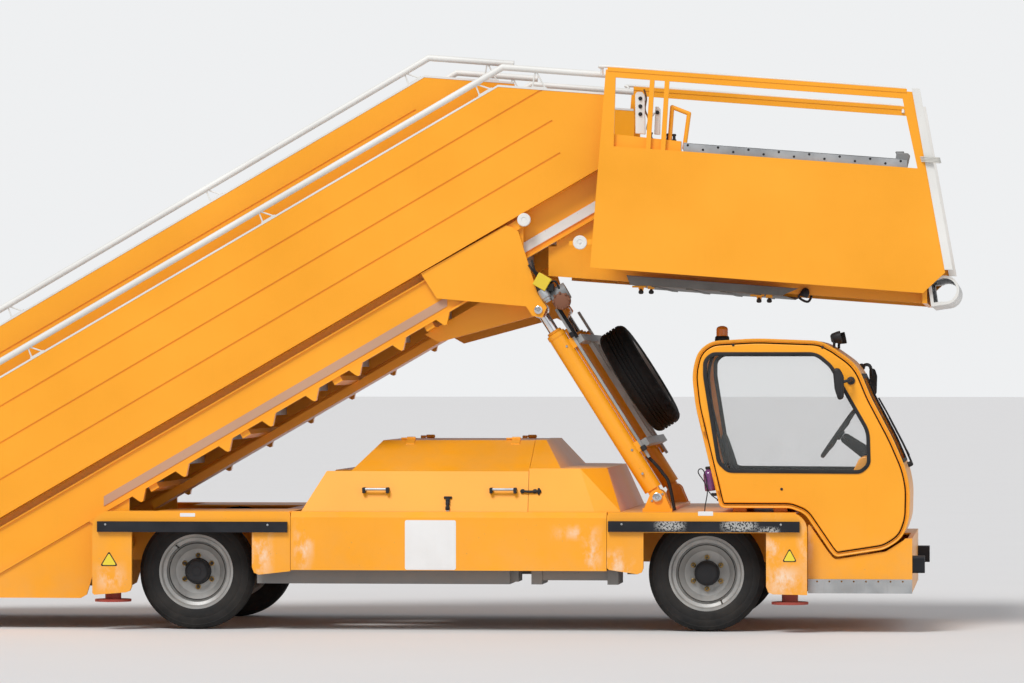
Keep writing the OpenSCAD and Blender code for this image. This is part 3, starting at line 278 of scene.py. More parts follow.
def make_weathering():
    """Mottling, fine specks, run-down streaks and settled dust."""
    group, source, sink = new_group(
        "Weathering", {"Coarse": 1.3, "Fine": 90.0, "Hem Height": 0.75, "Dust": 0.5},
        ("Mottle", "Speck", "Streak", "Dust Mask"))
    point = object_point(group)
    mottle = add(group, "ShaderNodeTexNoise",
                 {"Vector": point, "Scale": source.outputs["Coarse"], "Detail": 5})
    speck = add(group, "ShaderNodeTexNoise", {"Vector": point, "Scale": source.outputs["Fine"], "Detail": 3})
    runs = add(group, "ShaderNodeTexNoise", {
        "Vector": object_point(group, (7, 7, 0.45)), "Scale": 2.2, "Detail": 6, "Roughness": 0.7})
    streak = ramp(group, runs.outputs[0], 0.56, 0.76)
    normal = add(group, "ShaderNodeSeparateXYZ", {0: add(group, "ShaderNodeNewGeometry").outputs["Normal"]})
    height = add(group, "ShaderNodeSeparateXYZ", {0: point}).outputs[2]
    ledge = ramp(group, normal.outputs[2], 0.45, 0.95, 0, 0.55)
    hem = calc(group, "DIVIDE", calc(group, "SUBTRACT", source.outputs["Hem Height"], height),
               source.outputs["Hem Height"], clamp=True)
    cloud = add(group, "ShaderNodeTexNoise", {"Vector": point, "Scale": 4.5, "Detail": 8, "Roughness": 0.62})
    patch = ramp(group, cloud.outputs[0], 0.36, 0.72)
    settled = calc(group, "ADD", calc(group, "MULTIPLY", hem, 0.9), ledge)
    dust = calc(group, "MULTIPLY", calc(group, "MULTIPLY", settled, patch), source.outputs["Dust"],
                clamp=True)
    for label, value in (("Mottle", mottle.outputs[0]), ("Speck", speck.outputs[0]), ("Streak", streak),
                         ("Dust Mask", dust)):
        group.links.new(value, sink.inputs[label])
    return group


def make_scuffs():
    """Short scratches and chipped spots."""
    group, source, sink = new_group("Scuffs", {"Scale": 9.0, "Amount": 0.5}, ("Scuff Mask", "Chip Mask"))
    point = object_point(group, (1, 1, 3.2))
    warp = add(group, "ShaderNodeTexNoise", {"Vector": point, "Scale": source.outputs["Scale"], "Detail": 9,
                                            "Roughness": 0.74, "Distortion": 1.1})
    chips = add(group, "ShaderNodeTexVoronoi",
                {"Vector": object_point(group), "Scale": 46.0, "Randomness": 1.0})
    level = calc(group, "SUBTRACT", 0.86, calc(group, "MULTIPLY", source.outputs["Amount"], 0.3))
    scuff = add(group, "ShaderNodeMapRange", {"Value": warp.outputs[0], "From Min": level,
                                              "From Max": calc(group, "ADD", level, 0.09)}).outputs[0]
    small = ramp(group, chips.outputs["Distance"], 0.16, 0.08)
    chip = calc(group, "MULTIPLY", small, ramp(group, warp.outputs[0], 0.55, 0.6))
    group.links.new(scuff, sink.inputs["Scuff Mask"])
    group.links.new(chip, sink.inputs["Chip Mask"])
    return group


def make_zone():
    """A soft box in the object's own space: 1 inside, 0 outside."""
    group, source, sink = new_group(
        "Zone", {"X": 0.0, "Y": 0.0, "Z": 0.0, "Half X": 0.1, "Half Y": 0.1, "Half Z": 0.1}, ("Zone Mask",))
    parts = add(group, "ShaderNodeSeparateXYZ", {0: object_point(group)})
    found = None
    for index, axis in enumerate("XYZ"):
        away = calc(group, "ABSOLUTE", calc(group, "SUBTRACT", parts.outputs[index], source.outputs[axis]))
        inside = calc(group, "SUBTRACT", 1.0, calc(group, "DIVIDE", away, source.outputs[f"Half {axis}"]),
                      clamp=True)
        found = inside if found is None else calc(group, "MULTIPLY", found, inside)
    group.links.new(calc(group, "MULTIPLY", found, 3.0, clamp=True), sink.inputs["Zone Mask"])
    return group


def make_ribs():
    """Raised ribs that run across a tread, as a height."""
    group, source, sink = new_group("Ribs", {"Ribs Per Metre": 60.0}, ("Height", "Crest"))
    parts = add(group, "ShaderNodeSeparateXYZ", {0: object_point(group)})
    turn = calc(group, "MULTIPLY", calc(group, "MULTIPLY", parts.outputs[0], source.outputs[0]), 2 * math.pi)
    wave = calc(group, "ADD", calc(group, "MULTIPLY", calc(group, "SINE", turn), 0.5), 0.5)
    crest = ramp(group, wave, 0.45, 0.75)
    group.links.new(crest, sink.inputs["Height"])
    group.links.new(wave, sink.inputs["Crest"])
    return group


def shared(name, maker):
    return bpy.data.node_groups.get(name) or maker()


def place_group(tree, name, maker, **values):
    made = add(tree, "ShaderNodeGroup")
    made.node_tree = shared(name, maker)
    for label, value in values.items():
        made.inputs[label.replace("_", " ")].default_value = value
    return made


def new_material(name):
    made = bpy.data.materials.new(name)
    made.use_nodes = True
    tree = made.node_tree
    return made, tree, tree.nodes["Principled BSDF"]


def surface_bump(tree, shader, height, strength, distance):
    bump = add(tree, "ShaderNodeBump", {"Height": height, "Strength": strength, "Distance": distance})
    tree.links.new(bump.outputs[0], shader.inputs["Normal"])


def enamel(name, colour, roughness=0.36, coat=0.1, fine=120.0, hem=0.75, dust=None, scuffs=0.0,
           under=(0.5, 0.42, 0.3), shade=0.95, zones=()):
    """Sprayed enamel with mottling, runs, settled dust, scuffs and faded zones."""
    made, tree, shader = new_material(name)
    level = sizes().dust_level if dust is None else dust
    weather = place_group(tree, "Weathering", make_weathering, Fine=fine, Hem_Height=hem, Dust=level)
    darker = tuple(channel * shade for channel in colour)
    lighter = tuple(min(1.0, channel * 1.06 + 0.006) for channel in colour)
    tone = blend_colour(tree, ramp(tree, weather.outputs["Mottle"], 0.3, 0.7), darker, lighter)
    tone = blend_colour(tree, calc(tree, "MULTIPLY", weather.outputs["Streak"], 0.2 * level), tone,
                        tuple(channel * 0.62 for channel in colour))
    tone = blend_colour(tree, weather.outputs["Dust Mask"], tone, colours().dust)
    marks = None
    for x, y, z, hx, hy, hz, strength in zones:
        zone = place_group(tree, "Zone", make_zone, X=x, Y=y, Z=z, Half_X=hx, Half_Y=hy, Half_Z=hz)
        one = calc(tree, "MULTIPLY", zone.outputs[0], strength)
        marks = one if marks is None else calc(tree, "MAXIMUM", marks, one)
    if marks is not None:
        cloud = add(tree, "ShaderNodeTexNoise",
                    {"Vector": object_point(tree, (1, 1, 0.6)), "Scale": 11.0, "Detail": 9,
                                                "Roughness": 0.68})
        rub = ramp(tree, cloud.outputs[0], 0.44, 0.6)
        ragged = calc(tree, "MULTIPLY", marks, rub, clamp=True)
        tone = blend_colour(tree, ragged, tone, under)
    if scuffs:
        wear = place_group(tree, "Scuffs", make_scuffs, Amount=scuffs)
        tone = blend_colour(tree, calc(tree, "MULTIPLY", wear.outputs["Scuff Mask"], 0.55), tone, under)
        tone = blend_colour(tree, calc(tree, "MULTIPLY", wear.outputs["Chip Mask"], 0.6), tone,
                            tuple(channel * 0.35 for channel in under))
    tree.links.new(tone, shader.inputs["Base Color"])
    rough = calc(tree, "ADD",
                 ramp(tree, weather.outputs["Mottle"], 0.2, 0.8, roughness - 0.05, roughness + 0.08),
                 calc(tree, "MULTIPLY", weather.outputs["Dust Mask"], 0.4), clamp=True)
    tree.links.new(rough, shader.inputs["Roughness"])
    shader.inputs["Coat Weight"].default_value = coat
    shader.inputs["Coat Roughness"].default_value = 0.12
    surface_bump(tree, shader, weather.outputs["Speck"], 0.06, 0.001)
    return made


def bare_metal(name, colour, roughness=0.4, metallic=0.9, hem=0.6, dust=None, scuffs=0.3, ribs=0.0,
               smudge=0.45):
    """Galvanised, machined or silver-painted metal with smudges and settled dust."""
    made, tree, shader = new_material(name)
    level = sizes().dust_level if dust is None else dust
    weather = place_group(tree, "Weathering", make_weathering, Coarse=6.0, Fine=240.0, Hem_Height=hem,
                          Dust=level)
    wear = place_group(tree, "Scuffs", make_scuffs, Amount=scuffs, Scale=14.0)
    tone = blend_colour(tree, ramp(tree, weather.outputs["Mottle"], 0.3, 0.7),
                        tuple(c * 0.72 for c in colour), tuple(min(1, c * 1.08) for c in colour))
    tone = blend_colour(tree, calc(tree, "MULTIPLY", weather.outputs["Streak"], smudge), tone,
                        tuple(c * 0.4 for c in colour))
    tone = blend_colour(tree, weather.outputs["Dust Mask"], tone, colours().dust)
    tree.links.new(tone, shader.inputs["Base Color"])
    shine = calc(tree, "MULTIPLY", calc(tree, "SUBTRACT", 1.0, weather.outputs["Dust Mask"], clamp=True),
                 metallic)
    tree.links.new(shine, shader.inputs["Metallic"])
    rough = calc(tree, "ADD",
                 ramp(tree, weather.outputs["Speck"], 0.2, 0.8, roughness - 0.08, roughness + 0.1),
                 calc(tree, "MULTIPLY", wear.outputs["Scuff Mask"], 0.15), clamp=True)
    tree.links.new(rough, shader.inputs["Roughness"])
    if ribs:
        rib = place_group(tree, "Ribs", make_ribs, Ribs_Per_Metre=ribs)
        surface_bump(tree, shader, rib.outputs["Height"], 0.8, 0.003)
    else:
        surface_bump(tree, shader, weather.outputs["Speck"], 0.12, 0.0008)
    return made


def dark_stuff(name, colour, roughness=0.6, hem=0.8, dust=None, grain=260.0, grain_depth=0.25, scuffs=0.0,
               scuff_colour=(0.5, 0.5, 0.48), zones=()):
    """Rubber or moulded plastic with a fine grain, greyed by dust and rubbing."""
    made, tree, shader = new_material(name)
    level = sizes().dust_level if dust is None else dust
    weather = place_group(tree, "Weathering", make_weathering, Coarse=5.0, Fine=grain, Hem_Height=hem,
                          Dust=level)
    tone = blend_colour(tree, ramp(tree, weather.outputs["Mottle"], 0.25, 0.75),
                        tuple(c * 0.7 for c in colour), tuple(c * 1.5 + 0.006 for c in colour))
    tone = blend_colour(tree, calc(tree, "MULTIPLY", weather.outputs["Dust Mask"], 0.75), tone,
                        colours().dust)
    for x, y, z, hx, hy, hz, strength in zones:
        zone = place_group(tree, "Zone", make_zone, X=x, Y=y, Z=z, Half_X=hx, Half_Y=hy, Half_Z=hz)
        rub = calc(tree, "MULTIPLY", ramp(tree, weather.outputs["Speck"], 0.44, 0.5), strength)
        tone = blend_colour(tree, calc(tree, "MULTIPLY", zone.outputs[0], rub, clamp=True), tone,
                            scuff_colour)
    if scuffs:
        wear = place_group(tree, "Scuffs", make_scuffs, Amount=scuffs, Scale=7.0)
        tone = blend_colour(tree, wear.outputs["Scuff Mask"], tone, scuff_colour)
    tree.links.new(tone, shader.inputs["Base Color"])
    tree.links.new(ramp(tree, weather.outputs["Mottle"], 0.2, 0.8, roughness - 0.08, roughness + 0.12),
                   shader.inputs["Roughness"])
    shader.inputs["Specular IOR Level"].default_value = 0.25
    surface_bump(tree, shader, weather.outputs["Speck"], grain_depth, 0.0006)
    return made


def clear_glass(name):
    made, tree, shader = new_material(name)
    weather = place_group(tree, "Weathering", make_weathering, Coarse=3.0, Fine=40.0, Hem_Height=1.6,
                          Dust=0.4)
    film = calc(tree, "ADD", calc(tree, "MULTIPLY", weather.outputs["Dust Mask"], 0.2), 0.07, clamp=True)
    tree.links.new(blend_colour(tree, weather.outputs["Mottle"], (0.32, 0.36, 0.36), (0.42, 0.45, 0.44)),
                   shader.inputs["Base Color"])
    tree.links.new(film, shader.inputs["Alpha"])
    tree.links.new(ramp(tree, weather.outputs["Speck"], 0.3, 0.7, 0.03, 0.07), shader.inputs["Roughness"])
    return made


def lens(name, colour, glow=0.0):
    made, tree, shader = new_material(name)
    weather = place_group(tree, "Weathering", make_weathering, Coarse=20.0, Fine=70.0, Hem_Height=0.1,
                          Dust=0.3)
    tone = blend_colour(tree, weather.outputs["Mottle"], tuple(c * 0.7 for c in colour), colour)
    tree.links.new(blend_colour(tree, weather.outputs["Dust Mask"], tone, colours().dust),
                   shader.inputs["Base Color"])
    tree.links.new(ramp(tree, weather.outputs["Speck"], 0.3, 0.7, 0.12, 0.22), shader.inputs["Roughness"])
    shader.inputs["Coat Weight"].default_value = 0.6
    if glow:
        tree.links.new(tone, shader.inputs["Emission Color"])
        shader.inputs["Emission Strength"].default_value = glow
    return made


RECIPES = {
    "Orange enamel": lambda n: enamel(n, colours().orange),
    "Orange wall enamel": lambda n: enamel(n, colours().orange, roughness=0.36, hem=0.5),
    "Orange arch enamel": lambda n: enamel(
        n, colours().orange, hem=0.9, scuffs=0.24, under=(0.9, 0.68, 0.5), zones=(
            (-0.74, 0, 0.5, 0.1, 2, 0.22, 0.9), (-0.52, 0, 0.66, 0.1, 2, 0.12, 0.6),
            (-1.72, 0, 0.34, 0.12, 2, 0.12, 0.7), (-1.28, 0, 0.5, 0.06, 2, 0.2, 0.6),
            (2.62, 0, 0.34, 0.18, 2, 0.12, 1.0), (2.56, 0, 0.55, 0.08, 2, 0.24, 0.8),
            (2.76, 0, 0.56, 0.06, 2, 0.2, 0.5), (1.56, 0, 0.44, 0.14, 2, 0.12, 0.8))),
    "Orange panel enamel": lambda n: enamel(
        n, colours().orange, hem=0.8, scuffs=0.1, under=(0.9, 0.68, 0.5), zones=(
            (-0.46, 0, 0.55, 0.08, 2, 0.2, 0.9), (1.4, 0, 0.5, 0.08, 2, 0.18, 0.8),
            (1.3, 0, 0.64, 0.2, 2, 0.06, 0.6))),
    "Orange worn enamel": lambda n: enamel(n, colours().orange, hem=0.9, scuffs=0.42, under=(0.35, 0.2, 0.1)),
    "White enamel": lambda n: enamel(n, colours().white, roughness=0.42, coat=0.1, hem=0.3, scuffs=0.2,
                                     under=(0.4, 0.36, 0.3), shade=0.86),
    "Plate white": lambda n: enamel(n, (0.8, 0.8, 0.79), roughness=0.32, coat=0.1, hem=0.9, shade=0.93,
                                    dust=0.3),
    "Marker yellow": lambda n: enamel(n, (0.86, 0.68, 0.03), roughness=0.35, hem=0.9, shade=0.9, dust=0.3),
    "Black paint": lambda n: enamel(n, (0.022, 0.022, 0.024), roughness=0.45, coat=0.0, hem=1.2, scuffs=0.15,
                                    under=(0.3, 0.29, 0.27)),
    "Red primer": lambda n: enamel(n, (0.33, 0.035, 0.02), roughness=0.55, coat=0.0, hem=0.6, scuffs=0.5,
                                   under=(0.4, 0.25, 0.16)),
    "Machinery grey": lambda n: enamel(n, (0.2, 0.205, 0.205), roughness=0.5, coat=0.0, hem=0.8, scuffs=0.4,
                                       under=(0.12, 0.1, 0.08)),
    "Wheel silver": lambda n: bare_metal(n, (0.4, 0.4, 0.385), roughness=0.46, metallic=0.35, hem=0.42,
                                         scuffs=0.4),
    "Galvanised steel": lambda n: bare_metal(n, (0.5, 0.52, 0.53), roughness=0.42, metallic=0.75),
    "Tread metal": lambda n: bare_metal(n, (0.5, 0.51, 0.51), roughness=0.46, metallic=0.55, ribs=55.0),
    "Chrome": lambda n: bare_metal(n, (0.78, 0.79, 0.8), roughness=0.14, metallic=1.0, dust=0.1, scuffs=0.05,
                                   smudge=0.1),
    "Gold nuts": lambda n: bare_metal(n, (0.55, 0.36, 0.12), roughness=0.34, metallic=0.9, hem=0.2, dust=0.3),
    "Tyre rubber": lambda n: dark_stuff(n, colours().tyre, 0.7, hem=0.75, dust=0.1, grain=180.0,
                                        grain_depth=0.35),
    "Black rubber": lambda n: dark_stuff(n, (0.018, 0.018, 0.019), 0.62, hem=0.9),
    "Scuffed rubber": lambda n: dark_stuff(
        n, (0.012, 0.013, 0.017), 0.55, hem=0.3, dust=0.12, scuffs=0.18, scuff_colour=(0.42, 0.42, 0.4),
        grain=90.0, zones=(
            (1.907, -1.17, 0.69, 0.11, 0.06, 0.045, 1.0), (2.348, -1.17, 0.69, 0.13, 0.06, 0.05, 1.0),
            (2.533, -1.17, 0.655, 0.08, 0.06, 0.03, 0.9))),
    "Black plastic": lambda n: dark_stuff(n, (0.02, 0.02, 0.022), 0.48, hem=0.3, grain=420.0),
    "Seat cloth": lambda n: dark_stuff(n, (0.028, 0.029, 0.033), 0.85, hem=0.2, grain=700.0, grain_depth=0.7),
    "Cab glass": clear_glass,
    "Amber lens": lambda n: lens(n, (0.85, 0.2, 0.01), 0.15),
    "Clear lens": lambda n: lens(n, (0.7, 0.7, 0.68), 0.0),
    "Yellow valve": lambda n: enamel(n, (0.75, 0.55, 0.03), roughness=0.5, coat=0.0, hem=0.2, scuffs=0.4),
    "Purple fluid": lambda n: lens(n, (0.2, 0.06, 0.22), 0.0),
    "Rusty motor": lambda n: enamel(n, (0.2, 0.075, 0.035), roughness=0.6, coat=0.0, hem=0.4, scuffs=0.5,
                                    under=(0.3, 0.16, 0.08)),
    "Tray grey": lambda n: bare_metal(n, (0.16, 0.155, 0.145), roughness=0.5, metallic=0.3, scuffs=0.5),
    "Pale strap": lambda n: dark_stuff(n, (0.55, 0.54, 0.5), 0.85, hem=0.1, grain=500.0, grain_depth=0.6),
    "Track brown": lambda n: dark_stuff(n, (0.2, 0.12, 0.07), 0.6, hem=0.1),
    # Brown-pink enamel for the lower tracks: the white slide strip darkened by painted shade from the wall above it.
    "Brown track": lambda n: enamel(n, (0.52, 0.3, 0.19), roughness=0.5, coat=0.0, hem=0.2, scuffs=0.3),
}


def finish(name):
    return bpy.data.materials.get(name) or RECIPES[name](name)


# Mesh helpers; lengths are the truck's own millimetres, with X from the rear axle


def at(x, y, z):
    return Vector(((x - MID_X) / 1000, y / 1000, z / 1000))


def settle(piece, material, body, slot, bevel=0.0, segments=2, smooth=True):
    """Gives a new piece its finish, its bevel and its place on a CAD body."""
    piece.data.materials.clear()
    piece.data.materials.append(finish(material))
    if bevel:
        rounding = piece.modifiers.new("Rounding", "BEVEL")
        rounding.width = bevel / 1000
        rounding.segments = segments
        rounding.limit_method = "ANGLE"
        rounding.angle_limit = math.radians(35)
        rounding.harden_normals = False
    if smooth:
        piece.data.shade_smooth()
        piece.data.set_sharp_from_angle(angle=math.radians(38))
    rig.ride(piece, body)
    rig.slot(piece, slot)
    return piece


def from_bmesh(name, mesh):
    bmesh.ops.remove_doubles(mesh, verts=mesh.verts, dist=1e-6)
    bmesh.ops.recalc_face_normals(mesh, faces=mesh.faces)
    data = bpy.data.meshes.new(name)
    mesh.to_mesh(data)
    mesh.free()
    piece = bpy.data.objects.new(name, data)
    bpy.context.collection.objects.link(piece)
    return piece


def fitted(name, mesh, *place, **rounding):
    """Turns a finished bmesh into a piece and settles it."""
    return settle(from_bmesh(name, mesh), *place, **rounding)


def plate(mesh, outline, y_low, y_high, holes=()):
    """A flat plate in the XZ plane between two Y values, with holes left open by bridging to them."""
    rows = []
    for y in (y_low, y_high):
        rows.append([mesh.verts.new(at(x, y, z)) for x, z in outline])
    count = len(outline)
    for i in range(count):
        j = (i + 1) % count
        mesh.faces.new((rows[0][i], rows[0][j], rows[1][j], rows[1][i]))
    if not holes:
        mesh.faces.new(rows[0])
        mesh.faces.new(rows[1])
        return
    hole = holes[0]
    inner = [[mesh.verts.new(at(x, y, z)) for x, z in hole] for y in (y_low, y_high)]
    for i in range(count):
        j = (i + 1) % count
        mesh.faces.new((inner[0][i], inner[0][j], inner[1][j], inner[1][i]))
        for side in (0, 1):
            mesh.faces.new((rows[side][i], rows[side][j], inner[side][j], inner[side][i]))


def block(mesh, low, high):
    """A closed box between two corners."""
    corners = [mesh.verts.new(at(x, y, z)) for x in (low[0], high[0]) for y in (low[1], high[1])
               for z in (low[2], high[2])]
    for face in ((0, 1, 3, 2), (4, 6, 7, 5), (0, 4, 5, 1), (2, 3, 7, 6), (0, 2, 6, 4), (1, 5, 7, 3)):
        mesh.faces.new([corners[i] for i in face])


def turned(mesh, centre, axis, profile, steps=32, closed=False):
    """A turned shape: profile pairs of (distance along axis, radius), round an axis through centre."""
    axis = Vector(axis).normalized()
    side = axis.orthogonal().normalized()
    up = axis.cross(side)
    base = at(*centre)
    rings = []
    for along, radius in profile:
        point = base + axis * (along / 1000)
        if radius <= 0:
            rings.append([mesh.verts.new(point)])
            continue
        rings.append([mesh.verts.new(point + (side * math.cos(a) + up * math.sin(a)) * (radius / 1000))
                      for a in (2 * math.pi * k / steps for k in range(steps))])
    pairs = list(zip(rings, rings[1:] + rings[:1])) if closed else list(zip(rings, rings[1:]))
    for first, second in pairs:
        for k in range(steps):
            n = (k + 1) % steps
            if len(first) == 1 and len(second) == 1:
                continue
            if len(first) == 1:
                mesh.faces.new((first[0], second[k], second[n]))
            elif len(second) == 1:
                mesh.faces.new((first[k], first[n], second[0]))
            else:
                mesh.faces.new((first[k], first[n], second[n], second[k]))


def smooth_path(points, per_span=6):
    """Points of a Catmull-Rom curve through the given points."""
    found = []
    padded = [points[0]] + list(points) + [points[-1]]
    for a, b, c, d in zip(padded, padded[1:], padded[2:], padded[3:]):
        for k in range(per_span):
            t = k / per_span
            found.append(0.5 * ((2 * b) + (c - a) * t + (2 * a - 5 * b + 4 * c - d) * t * t
                                + (3 * b - a - 3 * c + d) * t ** 3))
    return found + [points[-1]]


def pipe(mesh, points, radius, steps=12, curved=True, per_span=6):
    """A closed round bar through points in the truck's millimetres."""
    path = [at(*p) for p in points]
    if curved:
        path = smooth_path(path, per_span)
    side = (path[1] - path[0]).orthogonal().normalized()
    rings = []
    for i, point in enumerate(path):
        ahead = (path[min(i + 1, len(path) - 1)] - path[max(i - 1, 0)]).normalized()
        side = (side - ahead * side.dot(ahead)).normalized()
        up = ahead.cross(side)
        rings.append([mesh.verts.new(point + (side * math.cos(a) + up * math.sin(a)) * (radius / 1000))
                      for a in (2 * math.pi * k / steps for k in range(steps))])
    for first, second in zip(rings, rings[1:]):
        for k in range(steps):
            n = (k + 1) % steps
            mesh.faces.new((first[k], first[n], second[n], second[k]))
    mesh.faces.new(rings[0])
    mesh.faces.new(rings[-1])


def arc_points(corners, radius, steps=5):
    """A closed outline with its corners rounded."""
    found = []
    count = len(corners)
    for i in range(count):
        here = Vector(corners[i])
        before = (Vector(corners[i - 1]) - here)
        after = (Vector(corners[(i + 1) % count]) - here)
        half = before.angle(after) / 2
        wide = radius[i] if isinstance(radius, list) else radius
        reach = min(wide / math.tan(half), before.length * 0.49, after.length * 0.49)
        start = here + before.normalized() * reach
        end = here + after.normalized() * reach
        for k in range(steps + 1):
            t = k / steps
            found.append(tuple((1 - t) ** 2 * start + 2 * t * (1 - t) * here + t * t * end))
    return found


# Operators, one for each piece or group of like pieces


NODE_FINISHES = {
    "Orange enamel": (
        "chassis_frame", "deck_plates", "engine_hood_front", "engine_lid_near", "engine_lid_far",
        "cab_shell", "cab_base", "cab_side_far", "cab_door_near", "console", "guard_near", "guard_far"),
    "Orange wall enamel": ("lower_stringers", "inner_walls", "lift_brackets", "upper_stringers",
                           "platform_frame", "platform_beams", "outer_walls"),
    "Orange arch enamel": ("fenders", "front_apron"),
    "Orange panel enamel": ("side_panels",),
    "Orange worn enamel": ("lift_barrels",),
    "White enamel": ("inner_handrails", "outer_handrails", "guard_edge_near", "guard_edge_far",
                     "nose_bumper"),
    "Scuffed rubber": ("rub_strips",),
    "Machinery grey": ("engine_and_tanks", "slide_motor"),
    "Galvanised steel": ("step_strip",),
    "Black paint": ("axle_beams", "knuckle_near", "knuckle_far"),
    "Wheel silver": tuple(f"rim_{w}" for w in WHEELS) + ("spare_carrier",),
    "Red primer": ("jacks_rear", "jacks_front"),
    "Chrome": ("lift_rods",),
    "Tread metal": ("lower_steps", "upper_steps"),
    "Cab glass": ("cab_glass", "cab_door_glass"),
    "Black plastic": ("cab_interior", "cab_fittings"),
    "Tyre rubber": tuple(f"tyre_{w}" for w in WHEELS) + ("spare_tyre",),
}
SHARP_NODES = (
    "cab_glass", "cab_door_glass", "lower_steps", "upper_steps", "inner_handrails", "outer_handrails",
    "console", "cab_fittings", "cab_interior", "spare_tyre") + tuple(f"tyre_{w}" for w in WHEELS)


class AIRSTAIRS_OT_frame_finishes(bpy.types.Operator):
    """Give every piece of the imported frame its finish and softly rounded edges"""

    bl_idname = "airstairs.frame_finishes"
    bl_label = "Frame finishes"

    def execute(self, context):
        for material, nodes in NODE_FINISHES.items():
            for node in nodes:
                piece = frame["nodes"][node]
                piece.data.materials.clear()
                piece.data.materials.append(finish(material))
                if node in SHARP_NODES:
                    continue
                rounding = piece.modifiers.new("Rounding", "BEVEL")
                rounding.width = sizes().edge_round
                rounding.segments = 2
                rounding.limit_method = "ANGLE"
                rounding.angle_limit = math.radians(50)
        return {"FINISHED"}


# The photographer's place, the way they looked (radians) and the lens (pixels)
PHOTO_PLACE = (5270.8, -33672.6, 1672.1)
PHOTO_YAW, PHOTO_PITCH = 0.09796, 0.00584
PHOTO_FOCUS, PHOTO_WIDTH = 5100.4, 1024
# Name, strength, spread, tilt and turn (degrees) of each sun
SUNS = (("key", 2.15, 22, 40, -24), ("fill", 0.4, 60, 62, 40))
SKY_LEVEL = 0.46
SKY_LIGHT, SKY_SHOWN = (0.93, 0.95, 1.0, 1), (0.86, 0.87, 0.88, 1)
FLOOR_DARK, FLOOR_PALE = (0.71, 0.7, 0.69), (0.73, 0.72, 0.71)
FLOOR_HALF = 300
SENSOR_WIDTH = 36
VIEW_REACH = 800


class AIRSTAIRS_OT_stage(bpy.types.Operator):
    """Lay the pale floor, set the soft lights and the camera"""

    bl_idname = "airstairs.stage"
    bl_label = "Floor, lights and camera"

    def execute(self, context):
        mesh = bmesh.new()
        bmesh.ops.create_grid(mesh, x_segments=1, y_segments=1, size=FLOOR_HALF)
        floor = from_bmesh("floor", mesh)
        made, tree, shader = new_material("Floor")
        noise = add(tree, "ShaderNodeTexNoise", {"Vector": object_point(tree), "Scale": 0.8, "Detail": 3})
        tree.links.new(blend_colour(tree, noise.outputs[0], FLOOR_DARK, FLOOR_PALE),
                       shader.inputs["Base Color"])
        shader.inputs["Roughness"].default_value = 0.9
        floor.data.materials.append(made)
        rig.stage(floor)
        world = context.scene.world or bpy.data.worlds.new("World")
        context.scene.world = world
        world.use_nodes = True
        tree = world.node_tree
        tree.nodes.clear()
        sky = add(tree, "ShaderNodeBackground", {"Color": SKY_LIGHT, "Strength": SKY_LEVEL})
        shown = add(tree, "ShaderNodeBackground", {"Color": SKY_SHOWN, "Strength": 1.0})
        path = add(tree, "ShaderNodeLightPath")
        seen = calc(tree, "ADD", path.outputs["Is Camera Ray"], path.outputs["Is Transmission Ray"],
                    clamp=True)
        mixed = add(tree, "ShaderNodeMixShader", {0: seen, 1: sky.outputs[0], 2: shown.outputs[0]})
        add(tree, "ShaderNodeOutputWorld", {"Surface": mixed.outputs[0]})
        for name, strength, spread, tilt, turn in SUNS:
            lamp = bpy.data.lights.new(name, "SUN")
            lamp.energy = strength
            lamp.angle = math.radians(spread)
            holder = bpy.data.objects.new(name, lamp)
            holder.rotation_euler = (math.radians(tilt), 0, math.radians(turn))
            context.collection.objects.link(holder)
        lens_data = bpy.data.cameras.new("camera")
        lens_data.sensor_width = SENSOR_WIDTH
        lens_data.lens = lens_data.sensor_width * PHOTO_FOCUS / PHOTO_WIDTH
        lens_data.clip_end = VIEW_REACH
        camera = bpy.data.objects.new("camera", lens_data)
        camera.location = at(*PHOTO_PLACE)
        look = Vector((-math.sin(PHOTO_YAW) * math.cos(PHOTO_PITCH),
                       math.cos(PHOTO_YAW) * math.cos(PHOTO_PITCH), math.sin(PHOTO_PITCH)))
        camera.rotation_euler = look.to_track_quat("-Z", "Y").to_euler()
        context.collection.objects.link(camera)
        context.scene.camera = camera
        context.scene.view_settings.view_transform = "Standard"
        return {"FINISHED"}


# Sizes that the pieces share with the frame, in the truck's millimetres

TYRE_MID_Y = 877.5
AXLE_Z = 374
WHEELBASE = 3310
STUD_CIRCLE = 102
STUDS = 6
TYRE_STEPS = 160
LUG_DEPTH = 4.5
DISC_FACE = 2.5
CAP_TOP = 71.5
NEAR_DOOR_Y = -1060
CAB_FAR_Y = 140
CAB_MID_Y = -460
LEG_FOOT = (2992, 861)
LEG_TOP = (2231, 2067)
LEG_Y = 850
SIDE_Y = 1150
HOOD_EDGE = ((770.3, 1085), (1028, 1000))


def wheel_place(wheel):
    """Centre of a wheel and the direction in which its outer face looks."""
    side = -1 if wheel.endswith("near") else 1
    return (WHEELBASE if wheel.startswith("front") else 0, side * TYRE_MID_Y, AXLE_Z), (0, side, 0)


def along_leg(n, y, s):
    """A point in the frame of the lift legs: s up the leg, n square to it towards the nose."""
    length = math.dist(LEG_FOOT, LEG_TOP)
    ux, uz = (LEG_TOP[0] - LEG_FOOT[0]) / length, (LEG_TOP[1] - LEG_FOOT[1]) / length
    return LEG_FOOT[0] + s * ux + n * uz, y, LEG_FOOT[1] + s * uz - n * ux


def stepped_back(point, direction, distance):
    return tuple(p + d * distance for p, d in zip(point, direction))


def hood_side(z):
    """Depth of the engine cover's sloping lower face at a height."""
    (z0, y0), (z1, y1) = HOOD_EDGE
    return y0 + (z - z0) * (y1 - y0) / (z1 - z0)


def on_slope(x, w):
    """Height of a line at the distance w over the foot of the outer wall."""
    return 1865 + (x - 700) * math.tan(PITCH) + w / math.cos(PITCH)


